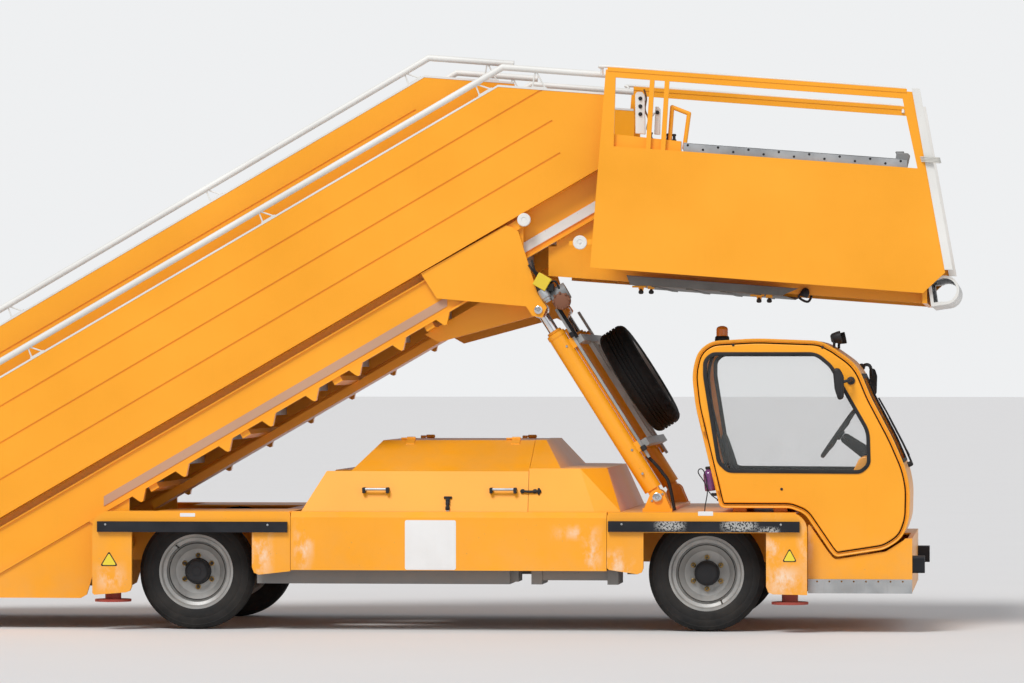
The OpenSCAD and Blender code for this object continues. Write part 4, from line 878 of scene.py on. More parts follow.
def spun(mesh, centre, axis, profile, steps, notches=(), depth=0.0, every=4):
    """A turned closed ring whose profile points in notches are pressed in on half of each pitch."""
    axis = Vector(axis).normalized()
    side = Vector((1, 0, 0)) if abs(axis.x) < 0.9 else Vector((0, 0, 1))
    side = (side - axis * side.dot(axis)).normalized()
    up = axis.cross(side)
    base = at(*centre)
    rings = []
    for i, (along, radius) in enumerate(profile):
        ring = []
        for k in range(steps):
            a = 2 * math.pi * k / steps
            r = radius - (depth if i in notches and (k % every) * 2 < every else 0)
            ring.append(mesh.verts.new(base + axis * (along / 1000)
                                       + (side * math.cos(a) + up * math.sin(a)) * (r / 1000)))
        rings.append(ring)
    for first, second in zip(rings, rings[1:] + rings[:1]):
        for k in range(steps):
            n = (k + 1) % steps
            mesh.faces.new((first[k], first[n], second[n], second[k]))


TYRE_SIDE = ((76, 233), (90, 239), (98, 249), (101, 262), (102.3, 280), (102.3, 297), (101, 300), (102, 303),
             (100.5, 318), (97, 331), (93.5, 340), (94.5, 343), (91, 349), (85, 357), (77, 364), (66, 369.5),
             (60, 372))
TYRE_RIBS = ((41, 373.6), (39, 365), (32, 365), (30, 374), (16, 374), (14, 365), (7, 365), (5, 374))


def tyre_mesh(name, centre, axis):
    half = list(TYRE_SIDE) + list(TYRE_RIBS)
    profile = half + [(-a, r) for a, r in reversed(half)]
    mesh = bmesh.new()
    lugs = {i for i, (a, r) in enumerate(profile) if 66 <= abs(a) <= 91 and r > 345}
    spun(mesh, centre, axis, profile, TYRE_STEPS, notches=lugs, depth=LUG_DEPTH, every=4)
    return from_bmesh(name, mesh)


class AIRSTAIRS_OT_tyres(bpy.types.Operator):
    """Build the tyres with their bead, side wall rings, shoulder lugs and tread ribs"""

    bl_idname = "airstairs.tyres"
    bl_label = "Tyres"

    def execute(self, context):
        for wheel in WHEELS:
            centre, out = wheel_place(wheel)
            piece = tyre_mesh(f"tread_{wheel}", centre, out)
            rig.replaces(settle(piece, "Tyre rubber", f"wheel_{wheel}", "tyre"), f"tyre_{wheel}")
        hub, ahead = along_leg(256, 0, 743), along_leg(356, 0, 743)
        piece = tyre_mesh("spare_tread", hub, [b - a for a, b in zip(hub, ahead)])
        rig.replaces(settle(piece, "Tyre rubber", "lift_barrels", "tyre"), "spare_tyre")
        return {"FINISHED"}


class AIRSTAIRS_OT_wheel_trim(bpy.types.Operator):
    """Fit the black hub caps, the nuts on their studs, the dark joint of disc and rim, and the valves"""

    bl_idname = "airstairs.wheel_trim"
    bl_label = "Wheel trim"

    def execute(self, context):
        for wheel in WHEELS:
            (x, y, z), out = wheel_place(wheel)
            side = out[1]
            body = f"wheel_{wheel}"
            steered = wheel.startswith("front")
            mesh = bmesh.new()
            dome = (((1, 82), (8, 82), (10, 79.5), (44, 79.5), (58, 72), (66, 58), (CAP_TOP - 1, 40),
                     (CAP_TOP, 0))
                    if steered else
                    ((1, 86), (12, 86), (15, 80), (45, 79.5), (58, 74), (69, 64), (CAP_TOP - 1, 30),
                     (CAP_TOP + 2, 28), (CAP_TOP + 2, 0)))
            turned(mesh, (x, y, z), out, [(0.5, 0)] + list(dome), steps=56)
            if not steered:
                for k in range(6):
                    a = math.radians(60 * k + 12)
                    spot = (x + 60 * math.cos(a), y + side * 62, z + 60 * math.sin(a))
                    turned(mesh, spot, out, ((0, 0), (0, 6), (8, 6), (10, 4), (10, 0)), steps=6)
            fitted(f"hub_cap_{wheel}", mesh, "Black plastic", body, "black_plastic")
            nuts, studs = bmesh.new(), bmesh.new()
            for k in range(STUDS):
                a = math.radians(360 / STUDS * k + 30)
                spot = (x + STUD_CIRCLE * math.cos(a), y + side * DISC_FACE, z + STUD_CIRCLE * math.sin(a))
                if steered:
                    turned(nuts, spot, out, ((-1, 0), (-1, 17), (4, 17), (5, 14.5)), steps=24)
                    turned(nuts, spot, out, ((3, 14.5), (17, 14.5), (21, 11), (21, 0)), steps=6)
                    turned(studs, spot, out, ((20, 7), (31, 7), (32, 5.5), (32, 0)), steps=16)
                else:
                    turned(nuts, spot, out, ((-1, 18), (7, 17), (9, 14), (6, 10), (-1, 10)), steps=24,
                           closed=True)
                    turned(studs, spot, out, ((-1, 0), (-1, 10), (2, 10), (3, 6), (10, 6), (11, 0)), steps=16)
            fitted(f"wheel_nuts_{wheel}", nuts, "Gold nuts", body, "galvanised")
            fitted(f"wheel_studs_{wheel}", studs, "Black paint", body, "axle_paint")
            mesh = bmesh.new()
            turned(mesh, (x, y, z), out, ((37, 179), (42, 180), (46, 183), (46, 185.5), (37, 185.5)),
                   steps=96, closed=True)
            fitted(f"rim_joint_{wheel}", mesh, "Black rubber", body, "black_rubber")
            mesh = bmesh.new()
            a = math.radians(-62 if steered else 128)
            root = (x + 196 * math.cos(a), y + side * 56, z + 196 * math.sin(a))
            turned(mesh, root, (0.5 * math.cos(a), out[1], 0.5 * math.sin(a)),
                   ((0, 0), (0, 7), (8, 7), (12, 4.5), (26, 4.5), (28, 5.5), (38, 5.5), (39, 0)), steps=16)
            fitted(f"valve_{wheel}", mesh, "Black rubber", body, "black_rubber")
        return {"FINISHED"}


class AIRSTAIRS_OT_hood_fittings(bpy.types.Operator):
    """Fit the lift handles and the rubber latches of the engine cover on both sides"""

    bl_idname = "airstairs.hood_fittings"
    bl_label = "Engine cover fittings"

    handles = ((1100, 1269), (1924, 2094))
    handle_z = (887, 925)
    side_latch = (1652, 753, 868)
    front_latch = (2125, 2247, 901)

    def execute(self, context):
        low, high = self.handle_z
        middle = (low + high) / 2
        for side, tag in ((-1, "near"), (1, "far")):
            lid = f"lid_{tag}"
            grips, ends = bmesh.new(), bmesh.new()
            for first, last in self.handles:
                skin = side * hood_side(middle)
                out = skin + side * 34
                pipe(grips, ((first + 12, out, high - 12), (last - 12, out, high - 12)), 9, steps=14,
                     curved=False)
                for x in (first + 8, last - 8):
                    outline = [(x - 9, low), (x + 9, low), (x + 11, high - 6), (x + 7, high), (x - 7, high),
                               (x - 11, high - 6)]
                    plate(ends, outline, min(skin - side * 6, out + side * 10),
                          max(skin - side * 6, out + side * 10))
            fitted(f"handle_bars_{tag}", grips, "Galvanised steel", lid, "galvanised")
            fitted(f"handle_ends_{tag}", ends, "Black plastic", lid, "black_plastic", bevel=3)
            x, _, high_z = self.side_latch
            mesh = bmesh.new()
            skin_low, skin_high = side * (hood_side(790) + 2), side * (hood_side(high_z) - 2)
            pipe(mesh, ((x, skin_high + side * 12, high_z - 16), (x, side * (hood_side(820) + 16), 820),
                        (x, skin_low + side * 12, 790)), 9, steps=10)
            turned(mesh, (x - 26, skin_high + side * 12, high_z - 8), (1, 0, 0),
                   ((0, 0), (0, 6), (4, 8), (48, 8), (52, 6), (52, 0)), steps=14)
            for z in (high_z - 24, high_z - 44, 792):
                turned(mesh, (x - 13, side * (hood_side(z) + 8), z), (1, 0, 0),
                       ((0, 0), (0, 11), (3, 13), (23, 13), (26, 11), (26, 0)), steps=14)
            fitted(f"side_latch_{tag}", mesh, "Black rubber", lid, "black_rubber")
            first, last, z = self.front_latch
            mesh = bmesh.new()
            skin = side * hood_side(z)
            pipe(mesh, ((first + 12, skin + side * 14, z), ((first + last) / 2, skin + side * 16, z - 2),
                        (last - 14, skin + side * 14, z)), 8, steps=10)
            for x in (first + 8, last - 34, last - 8):
                turned(mesh, (x, skin - side * 4, z), (0, side, 0),
                       ((0, 0), (0, 15), (18, 15), (22, 11), (24, 0)), steps=16)
            turned(mesh, (last - 8, skin + side * 14, z - 22), (0, 0, 1),
                   ((0, 0), (0, 5), (4, 7), (40, 7), (44, 5), (44, 0)), steps=12)
            fitted(f"front_latch_{tag}", mesh, "Black rubber", lid, "black_rubber")
            mesh = bmesh.new()
            block(mesh, (1640, min(side * 1070, side * 1087), 771),
                  (1664, max(side * 1070, side * 1087), 779))
            fitted(f"latch_keeper_{tag}", mesh, "White enamel", "chassis", "white_paint", bevel=2)
        return {"FINISHED"}


def swept_frame(mesh, outline, y, section, closed=True):
    """A profile of (across, out) pairs swept round an XZ outline; across grows outwards."""
    count = len(outline)
    rings = []
    for i in range(count):
        here = Vector(outline[i])
        before = (here - Vector(outline[i - 1])).normalized()
        after = (Vector(outline[(i + 1) % count]) - here).normalized()
        ahead = (before + after).normalized()
        outward = Vector((ahead.y, -ahead.x))
        if closed:
            stretch = 1 / max(0.5, ahead.dot(after))
        rings.append([mesh.verts.new(at(here.x + outward.x * a * stretch, y + o,
                                        here.y + outward.y * a * stretch))
                      for a, o in section])
    for first, second in zip(rings, rings[1:] + rings[:1]):
        for k in range(len(section)):
            n = (k + 1) % len(section)
            mesh.faces.new((first[k], first[n], second[n], second[k]))


class AIRSTAIRS_OT_cab_glazing(bpy.types.Operator):
    """Fit the rubber seals of the cab's side windows, and the door's screws"""

    bl_idname = "airstairs.cab_glazing"
    bl_label = "Window seals"

    screws = ((3488, 1841), (4058, 1826), (3456, 1080), (3797, 919))

    def execute(self, context):
        width = sizes().seal_width * 1000
        outline = soft_outline(WINDOW_CORNERS, longest=500)[::-1]
        for y, side, tag, body in ((NEAR_DOOR_Y, -1, "near", "cab_door"), (CAB_FAR_Y, 1, "far", "chassis")):
            mesh = bmesh.new()
            section = [(width * 0.55, 0), (width * 0.5, side * 6), (width * 0.1, side * 9),
                       (-width * 0.35, side * 5), (-width * 0.45, -side * 16), (width * 0.1, -side * 16)]
            swept_frame(mesh, outline, y, section)
            swept_frame(mesh, outline, y - side * 40, [(a, -o) for a, o in section])
            fitted(f"window_seal_{tag}", mesh, "Black rubber", body, "black_rubber")
        mesh = bmesh.new()
        for x, z in self.screws:
            turned(mesh, (x, NEAR_DOOR_Y + 1, z), (0, -1, 0), ((0, 0), (0, 9), (3, 9), (6, 7), (7, 0)),
                   steps=20)
        fitted("door_screws", mesh, "Black rubber", "cab_door", "black_rubber")
        return {"FINISHED"}


def turned_along(mesh, start, end, profile, steps=20):
    """A turned shape along the line from start towards end; profile distances in millimetres."""
    axis = [b - a for a, b in zip(start, end)]
    turned(mesh, start, axis, profile, steps)


class AIRSTAIRS_OT_lift_fittings(bpy.types.Operator):
    """Fit the pin caps, valve block, pipes, coiled hose covers and clamps of the lift legs"""

    bl_idname = "airstairs.lift_fittings"
    bl_label = "Lift leg fittings"

    def execute(self, context):
        caps, bolts = bmesh.new(), bmesh.new()
        for side in (-1, 1):
            foot = (LEG_FOOT[0], side * (LEG_Y + 94), LEG_FOOT[1])
            turned(caps, foot, (0, side, 0), ((0, 0), (0, 30), (6, 30), (8, 27), (8, 12), (5, 9), (5, 0)),
                   steps=36)
            for dx, dz in ((34, 22), (-34, -22)):
                spot = (foot[0] + dx, side * (LEG_Y + 84), foot[2] + dz)
                turned(bolts, spot, (0, side, 0), ((0, 0), (0, 8), (6, 8), (8, 6), (8, 0)), steps=6)
        fitted("leg_foot_caps", caps, "Chrome", "chassis", "chrome_rod")
        fitted("leg_foot_bolts", bolts, "Galvanised steel", "chassis", "galvanised")
        bolts, collars, covers = bmesh.new(), bmesh.new(), bmesh.new()
        for side in (-1, 1):
            y = side * LEG_Y
            for s in (345, 1135, 180):
                spot = along_leg(22 if s > 200 else 0, y + side * 56, s)
                turned(bolts, stepped_back(spot, (0, side, 0), -16 if s > 200 else 0), (0, side, 0),
                       ((0, 0), (0, 9), (16, 9), (20, 7), (20, 0)), steps=6)
            start, end = along_leg(0, y, 1218), along_leg(0, y, 1262)
            turned_along(collars, start, end,
                         ((0, 58), (0, 62), (26, 62), (30, 58), (30, 40), (36, 37), (36, 34.5)), 40)
            gland_start, gland_end = along_leg(0, y, 1250), along_leg(0, y, 1290)
            turned_along(collars, gland_start, gland_end, ((0, 35), (0, 48), (10, 50), (16, 44), (16, 35)),
                         40)
            first, last = along_leg(72, y - side * 6, 265), along_leg(72, y - side * 6, 1240)
            rows = [(0, 9)]
            step = 9.0
            count = int(math.dist(first, last) / step)
            for k in range(count):
                rows += [(k * step + 1.5, 12.5), (k * step + 5.5, 12.5), (k * step + 7, 9.5)]
            turned_along(covers, first, last, rows + [(count * step, 0)], 14)
        fitted("barrel_bolts", bolts, "Galvanised steel", "lift_barrels", "galvanised")
        fitted("barrel_collars", collars, "Orange worn enamel", "lift_barrels", "orange_paint")
        fitted("coiled_hose_covers", covers, "Orange wall enamel", "lift_barrels", "orange_paint")
        clamps = bmesh.new()
        for s in (300, 1165):
            low, high = along_leg(92, -LEG_Y - 34, s), along_leg(92, -LEG_Y - 34, s + 34)
            turned_along(clamps, low, high, ((0, 0), (0, 15), (4, 19), (30, 19), (34, 15), (34, 0)), 20)
        fitted("bar_clamps", clamps, "Black plastic", "lift_barrels", "black_plastic")
        pipes = bmesh.new()
        for n, reach in ((104, 1520), (112, 1480)):
            heights = (1150, 1250, 1330, 1400, reach)
            pipe(pipes, [along_leg(n, -LEG_Y - 18 + (n - 104) * 2, s) for s in heights], 7)
        fitted("upper_pipes", pipes, "Black rubber", "lift_rods", "black_rubber")
        self.hose_drop(context)
        self.motor_details(context)
        return {"FINISHED"}

    def hose_drop(self, context):
        """Hoses that run down behind the near leg to the deck."""
        hoses = bmesh.new()
        for offset, radius in ((0, 11), (26, 9), (-24, 9)):
            pipe(hoses, [along_leg(78, -LEG_Y + 40 + offset, 262), along_leg(96, -LEG_Y + 40 + offset, 190),
                         along_leg(104, -LEG_Y + 44 + offset, 120), along_leg(104, -LEG_Y + 44 + offset, 40),
                         (3096, -LEG_Y + 44 + offset, 775)], radius, per_span=8)
        fitted("leg_hoses", hoses, "Black rubber", "chassis", "black_rubber")

    def motor_details(self, context):
        """Yellow valve block, bright cylinder and brown motor at the head of the near leg."""
        mesh = bmesh.new()
        lean = math.radians(-30)
        outline = []
        for dx, dz in ((-46, -42), (46, -42), (46, 46), (-46, 46)):
            outline.append((2256 + dx * math.cos(lean) - dz * math.sin(lean),
                            2246 + dx * math.sin(lean) + dz * math.cos(lean)))
        plate(mesh, outline, -1046, -962)
        fitted("valve_block", mesh, "Yellow valve", "lower_flight", "machinery", bevel=4)
        mesh = bmesh.new()
        turned(mesh, (2252, -1004, 2200), (0.5, 0, -0.866),
               ((0, 0), (0, 30), (6, 34), (60, 34), (64, 28), (78, 28), (80, 22), (92, 22), (92, 0)),
               steps=36)
        fitted("valve_body", mesh, "Galvanised steel", "lower_flight", "galvanised")
        mesh = bmesh.new()
        turned(mesh, (2378, -1000, 2126), (0, 1, 0),
               ((-6, 0), (-6, 34), (0, 52), (10, 58), (70, 58), (76, 50), (100, 50), (104, 40), (104, 0)),
               steps=40)
        for k in range(8):
            a = math.radians(45 * k + 10)
            turned(mesh, (2378 + 52 * math.cos(a), -1002, 2126 + 52 * math.sin(a)), (0, -1, 0),
                   ((0, 0), (0, 8), (8, 8), (10, 6), (10, 0)), steps=6)
        fitted("slide_drive", mesh, "Rusty motor", "lower_flight", "machinery")
        mesh = bmesh.new()
        for start, bend, end in (
                ((2300, -990, 2236), (2340, -1000, 2250), (2368, -985, 2196)),
                ((2224, -1010, 2280), (2196, -1014, 2320), (2168, -1012, 2356)),
                ((2238, -1004, 2292), (2206, -1020, 2326), (2190, -1012, 2386))):
            pipe(mesh, (start, bend, end), 7)
        block(mesh, (2292, -1030, 2190), (2330, -975, 2236))
        fitted("drive_hoses", mesh, "Black rubber", "lower_flight", "black_rubber")


class AIRSTAIRS_OT_running_tracks(bpy.types.Operator):
    """Lay the running tracks on the stringers, with the rollers and the pins of the lift brackets"""

    bl_idname = "airstairs.running_tracks"
    bl_label = "Tracks and rollers"

    def strip(self, mesh, x_low, x_high, w_low, w_high, y_low, y_high):
        outline = [(x_low, on_slope(x_low, w_low)), (x_high, on_slope(x_high, w_low)),
                   (x_high, on_slope(x_high, w_high)), (x_low, on_slope(x_low, w_high))]
        plate(mesh, outline, y_low, y_high)

    def execute(self, context):
        brown, white, rollers, pins = bmesh.new(), bmesh.new(), bmesh.new(), bmesh.new()
        for side in (-1, 1):
            def span(low, high):
                return sorted((side * low, side * high))
            self.strip(brown, -607, 1636, -272, -217, *span(959, 965))
            self.strip(white, -1440, 2590, -222, -161, *span(906, 911))
            turned(rollers, (2138, side * 988, on_slope(2138, -42)), (0, side, 0),
                   ((0, 0), (0, 38), (4, 43), (26, 43), (30, 39), (30, 18), (27, 16), (27, 0)), steps=48)
            turned(pins, (LEG_TOP[0], side * 1008, LEG_TOP[1]), (0, side, 0),
                   ((-9, 0), (-9, 26), (4, 26), (6, 23), (6, 10), (3, 7), (3, 0)), steps=36)
        # The lower tracks take the white strip's colour darkened to brown-pink: painted shade.
        fitted("lower_tracks", brown, "Brown track", "lower_flight", "orange_paint", bevel=1)
        fitted("upper_tracks", white, "White enamel", "upper_flight", "white_paint", bevel=1)
        fitted("wall_rollers", rollers, "White enamel", "lower_flight", "white_paint")
        fitted("lift_head_pins", pins, "Chrome", "lower_flight", "chrome_rod")
        for side, tag in ((-1, "near"), (1, "far")):
            mesh = bmesh.new()
            turned(mesh, (2510, side * 1113, 2497), (0, side, 0),
                   ((0, 0), (0, 40), (4, 45), (24, 45), (28, 41), (28, 20), (25, 17), (25, 0)), steps=48)
            turned(mesh, (2510, side * 1136, 2497), (0, side, 0), ((0, 0), (0, 9), (6, 9), (8, 7), (8, 0)),
                   steps=6)
            fitted(f"guard_roller_{tag}", mesh, "White enamel", f"guard_{tag}", "white_paint")
        return {"FINISHED"}


# The cab, with the rounded outline that its pressed panels have

CAB_CORNERS = ((3402, 797, 45), (3246, 1446, 900), (3222, 1660, 420), (3260, 1800, 210), (3345, 1866, 210),
               (3637, 1883, 1500), (4040, 1868, 600), (4130, 1820, 260), (4282, 1713, 320), (4366, 1509, 800),
               (4507, 1242, 1500), (4590, 1050, 600), (4616, 920, 500), (4611, 730, 300), (4569, 607, 200),
               (4455, 535, 200), (4139, 485, 48), (4102, 530, 60), (3944, 761, 130), (3852, 797, 130))
WINDOW_CORNERS = ((3453, 1032, 80), (3392, 1090, 80), (3304, 1640, 260), (3304, 1740, 70), (3352, 1785, 70),
                  (4020, 1785, 130), (4112, 1708, 160), (4261, 1446, 500), (4350, 1290, 190),
                  (4356, 1075, 70), (4301, 1027, 70))
CAB_CENTRE = (3830, 1400)
PANEL_T = 40
RING_T = 28
DOOR_GAP = 5
SCREEN_SPAN = (-985, 65)
REAR_SPAN = (-930, 10)


def soft_outline(corners, steps=6, longest=70):
    """A counter-clockwise outline whose corners, given as (x, z, radius), are rounded one by one."""
    ordered = corners[::-1]
    points = arc_points([Vector(c[:2]) for c in ordered], [c[2] for c in ordered], steps)
    found = []
    for here, after in zip(points, points[1:] + points[:1]):
        pieces = max(1, int(math.dist(here, after) / longest))
        found += [tuple(Vector(here).lerp(Vector(after), k / pieces)) for k in range(pieces)]
    return found


def moved_in(outline, distance):
    """The outline set in by a distance."""
    found = []
    for i, here in enumerate(outline):
        before = Vector(here) - Vector(outline[i - 1])
        after = Vector(outline[(i + 1) % len(outline)]) - Vector(here)
        if before.length < 1e-6:
            before = after
        ahead = (before.normalized() + after.normalized()).normalized()
        found.append((here[0] - ahead.y * distance, here[1] + ahead.x * distance))
    return found


def ray_radius(outline, angle):
    """How far from the cab's centre a ray meets an outline."""
    ray = Vector((math.cos(angle), math.sin(angle)))
    centre = Vector(CAB_CENTRE)
    best = 0.0
    for here, after in zip(outline, outline[1:] + outline[:1]):
        start, along = Vector(here) - centre, Vector(after) - Vector(here)
        cross = ray.x * along.y - ray.y * along.x
        if abs(cross) < 1e-9:
            continue
        part = (start.x * ray.y - start.y * ray.x) / cross
        reach = (start.x * along.y - start.y * along.x) / cross
        if -0.001 <= part <= 1.001 and reach > best:
            best = reach
    return best


def holed_panel(mesh, outline, hole, y_low, y_high):
    """A panel between two Y values, with one opening."""
    angles = sorted({round(math.atan2(z - CAB_CENTRE[1], x - CAB_CENTRE[0]), 5) for x, z in outline + hole})
    rows = []
    for shape in (outline, hole):
        reach = [ray_radius(shape, a) for a in angles]
        spots = [(CAB_CENTRE[0] + r * math.cos(a), CAB_CENTRE[1] + r * math.sin(a))
                 for r, a in zip(reach, angles)]
        rows.append([[mesh.verts.new(at(x, y, z)) for x, z in spots] for y in (y_low, y_high)])
    for i in range(len(angles)):
        j = (i + 1) % len(angles)
        for low, high in rows:
            mesh.faces.new((low[i], low[j], high[j], high[i]))
        for side in (0, 1):
            mesh.faces.new((rows[0][side][i], rows[0][side][j], rows[1][side][j], rows[1][side][i]))


def skin_strip(mesh, outline, chosen, y_low, y_high, lift, thick, closed=False):
    """A strip that follows the outline or part of it, lifted off it, with its own thickness."""
    outer, inner = moved_in(outline, -lift), moved_in(outline, thick - lift)
    rings = []
    for i in chosen:
        (x0, z0), (x1, z1) = outer[i], inner[i]
        rings.append([mesh.verts.new(at(*spot)) for spot in (
            (x0, y_low, z0), (x0, y_high, z0), (x1, y_high, z1), (x1, y_low, z1))])
    for first, second in zip(rings, rings[1:] + (rings[:1] if closed else [])):
        for k in range(4):
            n = (k + 1) % 4
            mesh.faces.new((first[k], first[n], second[n], second[k]))
    if not closed:
        mesh.faces.new(rings[0])
        mesh.faces.new(rings[-1])


def outline_run(outline, x_low, x_high, z_low, z_high):
    """Indices of the outline's points inside a box, in order."""
    return [i for i, (x, z) in enumerate(outline) if x_low <= x <= x_high and z_low <= z <= z_high]


SCREEN_BOX = (4150, 5000, 1085, 1675)
REAR_BOX = (3000, 3330, 1165, 1675)


class AIRSTAIRS_OT_cab_body(bpy.types.Operator):
    """Press the cab's roof, pillars, side panel and door with rounded outlines, and glaze them"""

    bl_idname = "airstairs.cab_body"
    bl_label = "Cab body"

    def execute(self, context):
        outline = soft_outline(CAB_CORNERS)
        hole = soft_outline(WINDOW_CORNERS, longest=500)
        self.shell(outline)
        for tag, y_low, inset, body, node in (
                ("near", NEAR_DOOR_Y, RING_T + DOOR_GAP, "cab_door", "cab_door_near"),
                ("far", CAB_FAR_Y - PANEL_T, RING_T + 1, "chassis", "cab_side_far")):
            mesh = bmesh.new()
            holed_panel(mesh, moved_in(outline, inset), hole, y_low, y_low + PANEL_T)
            panel = fitted(f"cab_panel_{tag}", mesh, "Orange enamel", body, "orange_paint", bevel=5)
            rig.replaces(panel, node)
        for tag, y_mid, body, node in (("near", NEAR_DOOR_Y + PANEL_T / 2, "cab_door", "cab_door_glass"),
                                       ("far", CAB_FAR_Y - PANEL_T / 2, "chassis", "cab_glass")):
            mesh = bmesh.new()
            plate(mesh, hole, y_mid - 3, y_mid + 3)
            glass = fitted(f"side_glass_{tag}", mesh, "Cab glass", body, "glass", smooth=False)
            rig.replaces(glass, node)
        panes, seals = bmesh.new(), bmesh.new()
        for box, (y_low, y_high) in ((SCREEN_BOX, SCREEN_SPAN), (REAR_BOX, REAR_SPAN)):
            run = outline_run(outline, *box)
            skin_strip(panes, outline, run, y_low - 12, y_high + 12, -10, 6)
            for edge in (y_low, y_high):
                skin_strip(seals, outline, run, edge - 17, edge + 17, 4, 12)
            for end in (run[:2], run[-2:]):
                skin_strip(seals, outline, end, y_low - 17, y_high + 17, 4, 12)
        for y_low, y_high in ((NEAR_DOOR_Y + 44, NEAR_DOOR_Y + 58), (CAB_FAR_Y - 56, CAB_FAR_Y - 42)):
            skin_strip(seals, outline, range(len(outline)), y_low, y_high, 4 - RING_T, 20, closed=True)
        fitted("screens", panes, "Cab glass", "chassis", "glass")
        fitted("screen_seals", seals, "Black rubber", "chassis", "black_rubber", bevel=2)
        self.hinges_and_mirror()
        return {"FINISHED"}

    def shell(self, outline):
        rows = ((NEAR_DOOR_Y, 7), (NEAR_DOOR_Y + 2, 2), (NEAR_DOOR_Y + 7, 0), (SCREEN_SPAN[0], 0),
                (REAR_SPAN[0], 0), (REAR_SPAN[1], 0), (SCREEN_SPAN[1], 0), (CAB_FAR_Y - 7, 0),
                (CAB_FAR_Y - 2, 2), (CAB_FAR_Y, 7))
        mesh = bmesh.new()
        grid = [[mesh.verts.new(at(x, y, z)) for x, z in moved_in(outline, inset)] for y, inset in rows]
        screen, rear = (set(outline_run(outline, *box)) for box in (SCREEN_BOX, REAR_BOX))
        for r, ((y_low, _), (y_high, _)) in enumerate(zip(rows, rows[1:])):
            for i in range(len(outline)):
                j = (i + 1) % len(outline)
                in_front = SCREEN_SPAN[0] <= y_low and y_high <= SCREEN_SPAN[1]
                in_rear = REAR_SPAN[0] <= y_low and y_high <= REAR_SPAN[1]
                open_front = i in screen and j in screen and in_front
                open_rear = i in rear and j in rear and in_rear
                if not (open_front or open_rear):
                    mesh.faces.new((grid[r][i], grid[r][j], grid[r + 1][j], grid[r + 1][i]))
        shell = from_bmesh("cab_shell_skin", mesh)
        wall = shell.modifiers.new("Wall", "SOLIDIFY")
        wall.thickness = (RING_T - 4) / 1000
        wall.offset = -1
        settle(shell, "Orange enamel", "chassis", "orange_paint")
        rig.replaces(shell, "cab_shell")
        mesh = bmesh.new()
        for y_low, z_front in ((-970, 440), (-30, 470)):
            for x in (3480, 3740):
                block(mesh, (x, y_low, 770.5), (x + 90, y_low + 80, 800))
            block(mesh, (4280, y_low, z_front + 0.5), (4358, y_low + 80, 522))
        block(mesh, (3880, -1006, 790), (3940, 86, 816))
        feet = fitted("cab_feet", mesh, "Orange enamel", "chassis", "orange_paint", bevel=4)
        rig.replaces(feet, "cab_base")

    def hinges_and_mirror(self):
        lean = Vector((3246 - 3402, 0, 1446 - 797)).normalized()
        for tag, body, starts, length in (("door_hinge_eyes", "cab_door", (150, 540), 52),
                                          ("cab_hinge_pins", "chassis", (112, 502), 37)):
            mesh = bmesh.new()
            for s in starts:
                base = (3418 + lean.x * s, NEAR_DOOR_Y - 12, 797 + lean.z * s)
                turned(mesh, base, tuple(lean),
                       ((0, 0), (0, 8), (1, 9), (length - 1, 9), (length, 8), (length, 0)), 24)
            fitted(tag, mesh, "Orange enamel", body, "orange_paint")
        mesh = bmesh.new()
        pipe(mesh, ((4240, -1058, 1612), (4238, -1100, 1616), (4222, -1146, 1612), (4180, -1154, 1602)), 10,
             14)
        turned(mesh, (4240, -1061, 1612), (0, -1, 0), ((0, 0), (0, 26), (8, 26), (13, 18), (13, 0)), 28)
        housing = soft_outline(((4126, 1690, 28), (4170, 1694, 28), (4198, 1640, 40), (4198, 1500, 26),
                                (4162, 1486, 26), (4138, 1560, 60)), longest=500)
        rows = ((-1172, 16), (-1169, 7), (-1160, 1), (-1150, 0), (-1142, 0), (-1138, 4))
        rings = [[mesh.verts.new(at(x, y, z)) for x, z in moved_in(housing, inset)] for y, inset in rows]
        for first, second in zip(rings, rings[1:]):
            for i in range(len(housing)):
                j = (i + 1) % len(housing)
                mesh.faces.new((first[i], first[j], second[j], second[i]))
        mesh.faces.new(rings[0])
        mesh.faces.new(rings[-1])
        fitted("near_mirror", mesh, "Black plastic", "cab_door", "black_plastic")


